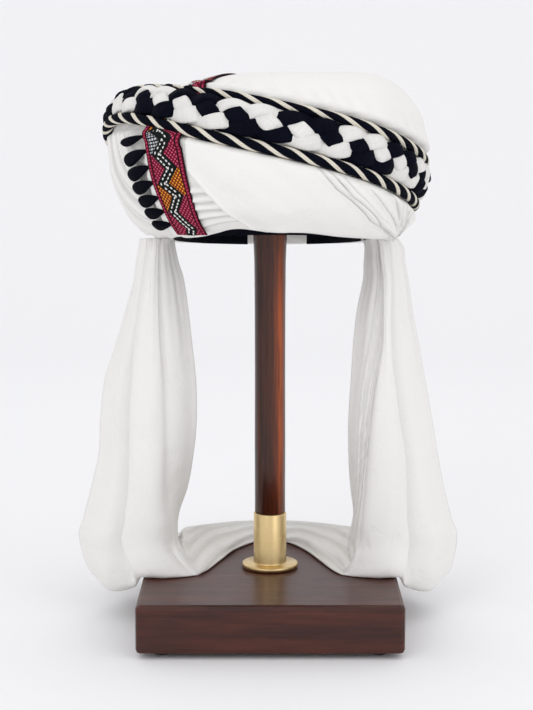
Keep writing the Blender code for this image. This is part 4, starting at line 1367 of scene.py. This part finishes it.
def woodMaterial(name, scale, light, dark, gloss, coat, paintedHighlight=0.0):
    # grain runs along the axis with the smallest scale; the light colour shows in the streaks, and in the
    # painted highlight where one is asked for
    material, w, shader, where = newMaterial(name)
    run = w.node("ShaderNodeGroup", {"Vector": w.stretch(where["Object"], scale)}, node_tree=grain)
    tone = w.ramp(run["Tone"], 0.35, 0.65, 0.0, 0.65) + w.ramp(run["Streak"], 0.45, 0.7, 0.0, 0.35)
    if paintedHighlight:
        # painted highlight: a strong streak right of the front and a fainter one behind, both darker at the
        # ends
        split = w.split(where["Object"])
        turn = w.calc("ARCTAN2", split[0], split[1] * -1.0)
        paintedStreak = w.ramp(abs(turn - 0.72), 0.05, 0.55, 1.0, 0.0)
        faintPaintedStreak = w.ramp(abs(turn + 2.3), 0.1, 0.7, 0.5, 0.0)
        ends = w.ramp(split[2], 0.09, 0.15, 0.35, 1.0) * w.ramp(split[2], 0.25, 0.33, 1.0, 0.4)
        tone = tone * 0.22 + (paintedStreak + faintPaintedStreak) * (tone * 0.9 + 0.35) * ends * paintedHighlight
    w.feed(shader, {
        "Base Color": w.mix(tone, dark, light),
        "Roughness": w.ramp(run["Pores"], 0.3, 0.7, gloss + 0.08, gloss),
        "Specular IOR Level": 0.32, "Coat Weight": coat, "Coat Roughness": 0.12,
        "Normal": w.bump(run["Pores"], 0.12, 0.0003)})
    return material


mahogany = woodMaterial("mahogany", (7.0, 90.0, 90.0), (0.095, 0.021, 0.011), (0.030, 0.0065, 0.004),
                        0.38, 0.14)
# this wood carries the painted highlight streak; the post and the crown rest use it
darkMahoganyPaintedHighlight = woodMaterial("darkMahoganyPaintedHighlight", (260.0, 260.0, 9.0), (0.42, 0.085, 0.018),
                            (0.014, 0.0030, 0.0020), 0.30, 0.22, 1.0)


def brassMaterial():
    # turned brass: fine rings round the pole, and a soft tarnish
    material, w, shader, where = newMaterial("brass")
    rings = w.noise(w.stretch(where["Object"], (6.0, 6.0, 2600.0)), 1.0, 2.0)
    cloud = w.noise(where["Object"], 60.0, 4.0)
    w.feed(shader, {
        "Base Color": w.mix(cloud, (0.62, 0.44, 0.19), (0.80, 0.63, 0.35)), "Metallic": 1.0,
        "Roughness": w.ramp(rings + cloud * 0.4, 0.4, 1.0, 0.24, 0.38),
        "Normal": w.bump(rings, 0.25, 0.00015)})
    return material


def rubberMaterial():
    material, w, shader, where = newMaterial("darkRubber")
    dust = w.noise(where["Object"], 400.0, 4.0)
    w.feed(shader, {
        "Base Color": w.mix(dust, (0.008, 0.008, 0.008), (0.022, 0.021, 0.020)),
        "Roughness": w.ramp(dust, 0.3, 0.7, 0.7, 0.9), "Normal": w.bump(dust, 0.3, 0.0002)})
    return material


brass, rubber = brassMaterial(), rubberMaterial()
# radius and height of each turned shape, the ferrule's from its seat and the post's from its foot
seat, ferruleHeight = 0.0446, 0.048
ferruleProfile = (
    (0.0232, 0.0), (0.0240, 0.0006), (0.0240, 0.0030), (0.0236, 0.0037), (0.0228, 0.0040),
    (0.0145, 0.0040), (0.0141, 0.0043), (0.0140, 0.0050), (0.0140, ferruleHeight - 0.0008),
    (0.0137, ferruleHeight - 0.0002), (0.0132, ferruleHeight),
)
ferrule = lathe("turned_ferrule", np.add(ferruleProfile, (0, seat)), brass)
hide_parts("stand_ferrule")
poleFoot, poleHead = (float(corner[2]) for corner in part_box("stand_pole"))
poleHeight = poleHead - poleFoot
postProfile = (
    (0.0125, 0.0), (0.0130, 0.0005), (0.0131, 0.06), (0.0129, 0.12), (0.0130, 0.18), (0.0133, 0.215),
    (0.0141, 0.237), (0.0144, 0.262), (0.0130, 0.30), (0.0128, poleHeight - 0.001), (0.0124, poleHeight),
)
post = lathe("turned_post", np.add(postProfile, (0, poleFoot)), darkMahoganyPaintedHighlight)
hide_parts("stand_pole")
looks = {"stand_base": mahogany, "crown_rest": darkMahoganyPaintedHighlight}
looks.update({f"foot_{k}": rubber for k in range(1, 5)})
for name, made in looks.items():
    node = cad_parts[name]
    node = node if hasattr(node, "data") else bpy.data.objects[name]
    node.data.materials.clear()
    node.data.materials.append(made)
print("stand finished")


# Floor, light and camera

def plainMaterial(name, colour, roughness):
    material, w, shader, _ = newMaterial(name)
    w.feed(shader, {"Base Color": (*colour, 1), "Roughness": roughness})
    return material


def makeFloor():
    # flat in front, then a wide curve up into a wall
    across = np.linspace(-6, 6, 5)
    depth = np.concatenate([[-4.0, 0.0, 1.6], 1.6 + 1.4 * np.sin(np.linspace(0.1, math.pi / 2, 14)), [3.0]])
    height = np.concatenate([[0, 0, 0], 1.4 * (1 - np.cos(np.linspace(0.1, math.pi / 2, 14))), [5.0]])
    points = np.stack([across[None] + 0 * depth[:, None], depth[:, None] + 0 * across[None],
                       height[:, None] + 0 * across[None] - 0.0002], axis=-1)
    quads, _, _ = gridFaces(len(depth), len(across), closedColumns=False)
    mesh = bpy.data.meshes.new("studioFloor")
    mesh.from_pydata(points.reshape(-1, 3).tolist(), [], quads[:, ::-1].tolist())
    mesh.shade_smooth()
    mesh.materials.append(plainMaterial("studioFloor", (0.94, 0.94, 0.95), 0.9))
    floor = bpy.data.objects.new("studio_floor", mesh)
    bpy.context.scene.collection.objects.link(floor)


def areaLight(name, place, aim, size, power, colour=(1, 1, 1)):
    light = bpy.data.lights.new(name, "AREA")
    light.shape = "RECTANGLE"
    light.size, light.size_y = size
    light.energy = power
    light.color = colour
    lamp = bpy.data.objects.new(name, light)
    lamp.location = place
    way = np.array(aim, float) - np.array(place, float)
    flat = math.hypot(way[0], way[1])
    lamp.rotation_euler = (math.atan2(flat, -way[2]), 0, math.atan2(-way[0], way[1]))
    bpy.context.scene.collection.objects.link(lamp)


makeFloor()
areaLight("keyLight", (-1.0, -2.2, 1.7), (0, 0, 0.28), (1.2, 1.2), 8.5)
areaLight("fillLight", (1.5, -2.0, 1.1), (0, 0, 0.25), (1.2, 1.8), 6)
areaLight("topLight", (0.1, 0.3, 2.3), (0, 0, 0.3), (1.8, 1.4), 3)
world = bpy.data.worlds.new("studio")
world.use_nodes = True
world.node_tree.nodes["Background"].inputs["Color"].default_value = (0.965, 0.965, 0.98, 1)
world.node_tree.nodes["Background"].inputs["Strength"].default_value = 0.92
bpy.context.scene.world = world
bpy.context.scene.view_settings.view_transform = "Standard"

camera = bpy.data.cameras.new("camera")
camera.lens = 83.7
camera.sensor_width = 36
camera.sensor_fit = "AUTO"
eye = bpy.data.objects.new("camera", camera)
eye.location = (-0.003, -1.385, 0.4258)
eye.rotation_euler = (math.radians(81.9), 0, 0)
bpy.context.scene.collection.objects.link(eye)
bpy.context.scene.camera = eye
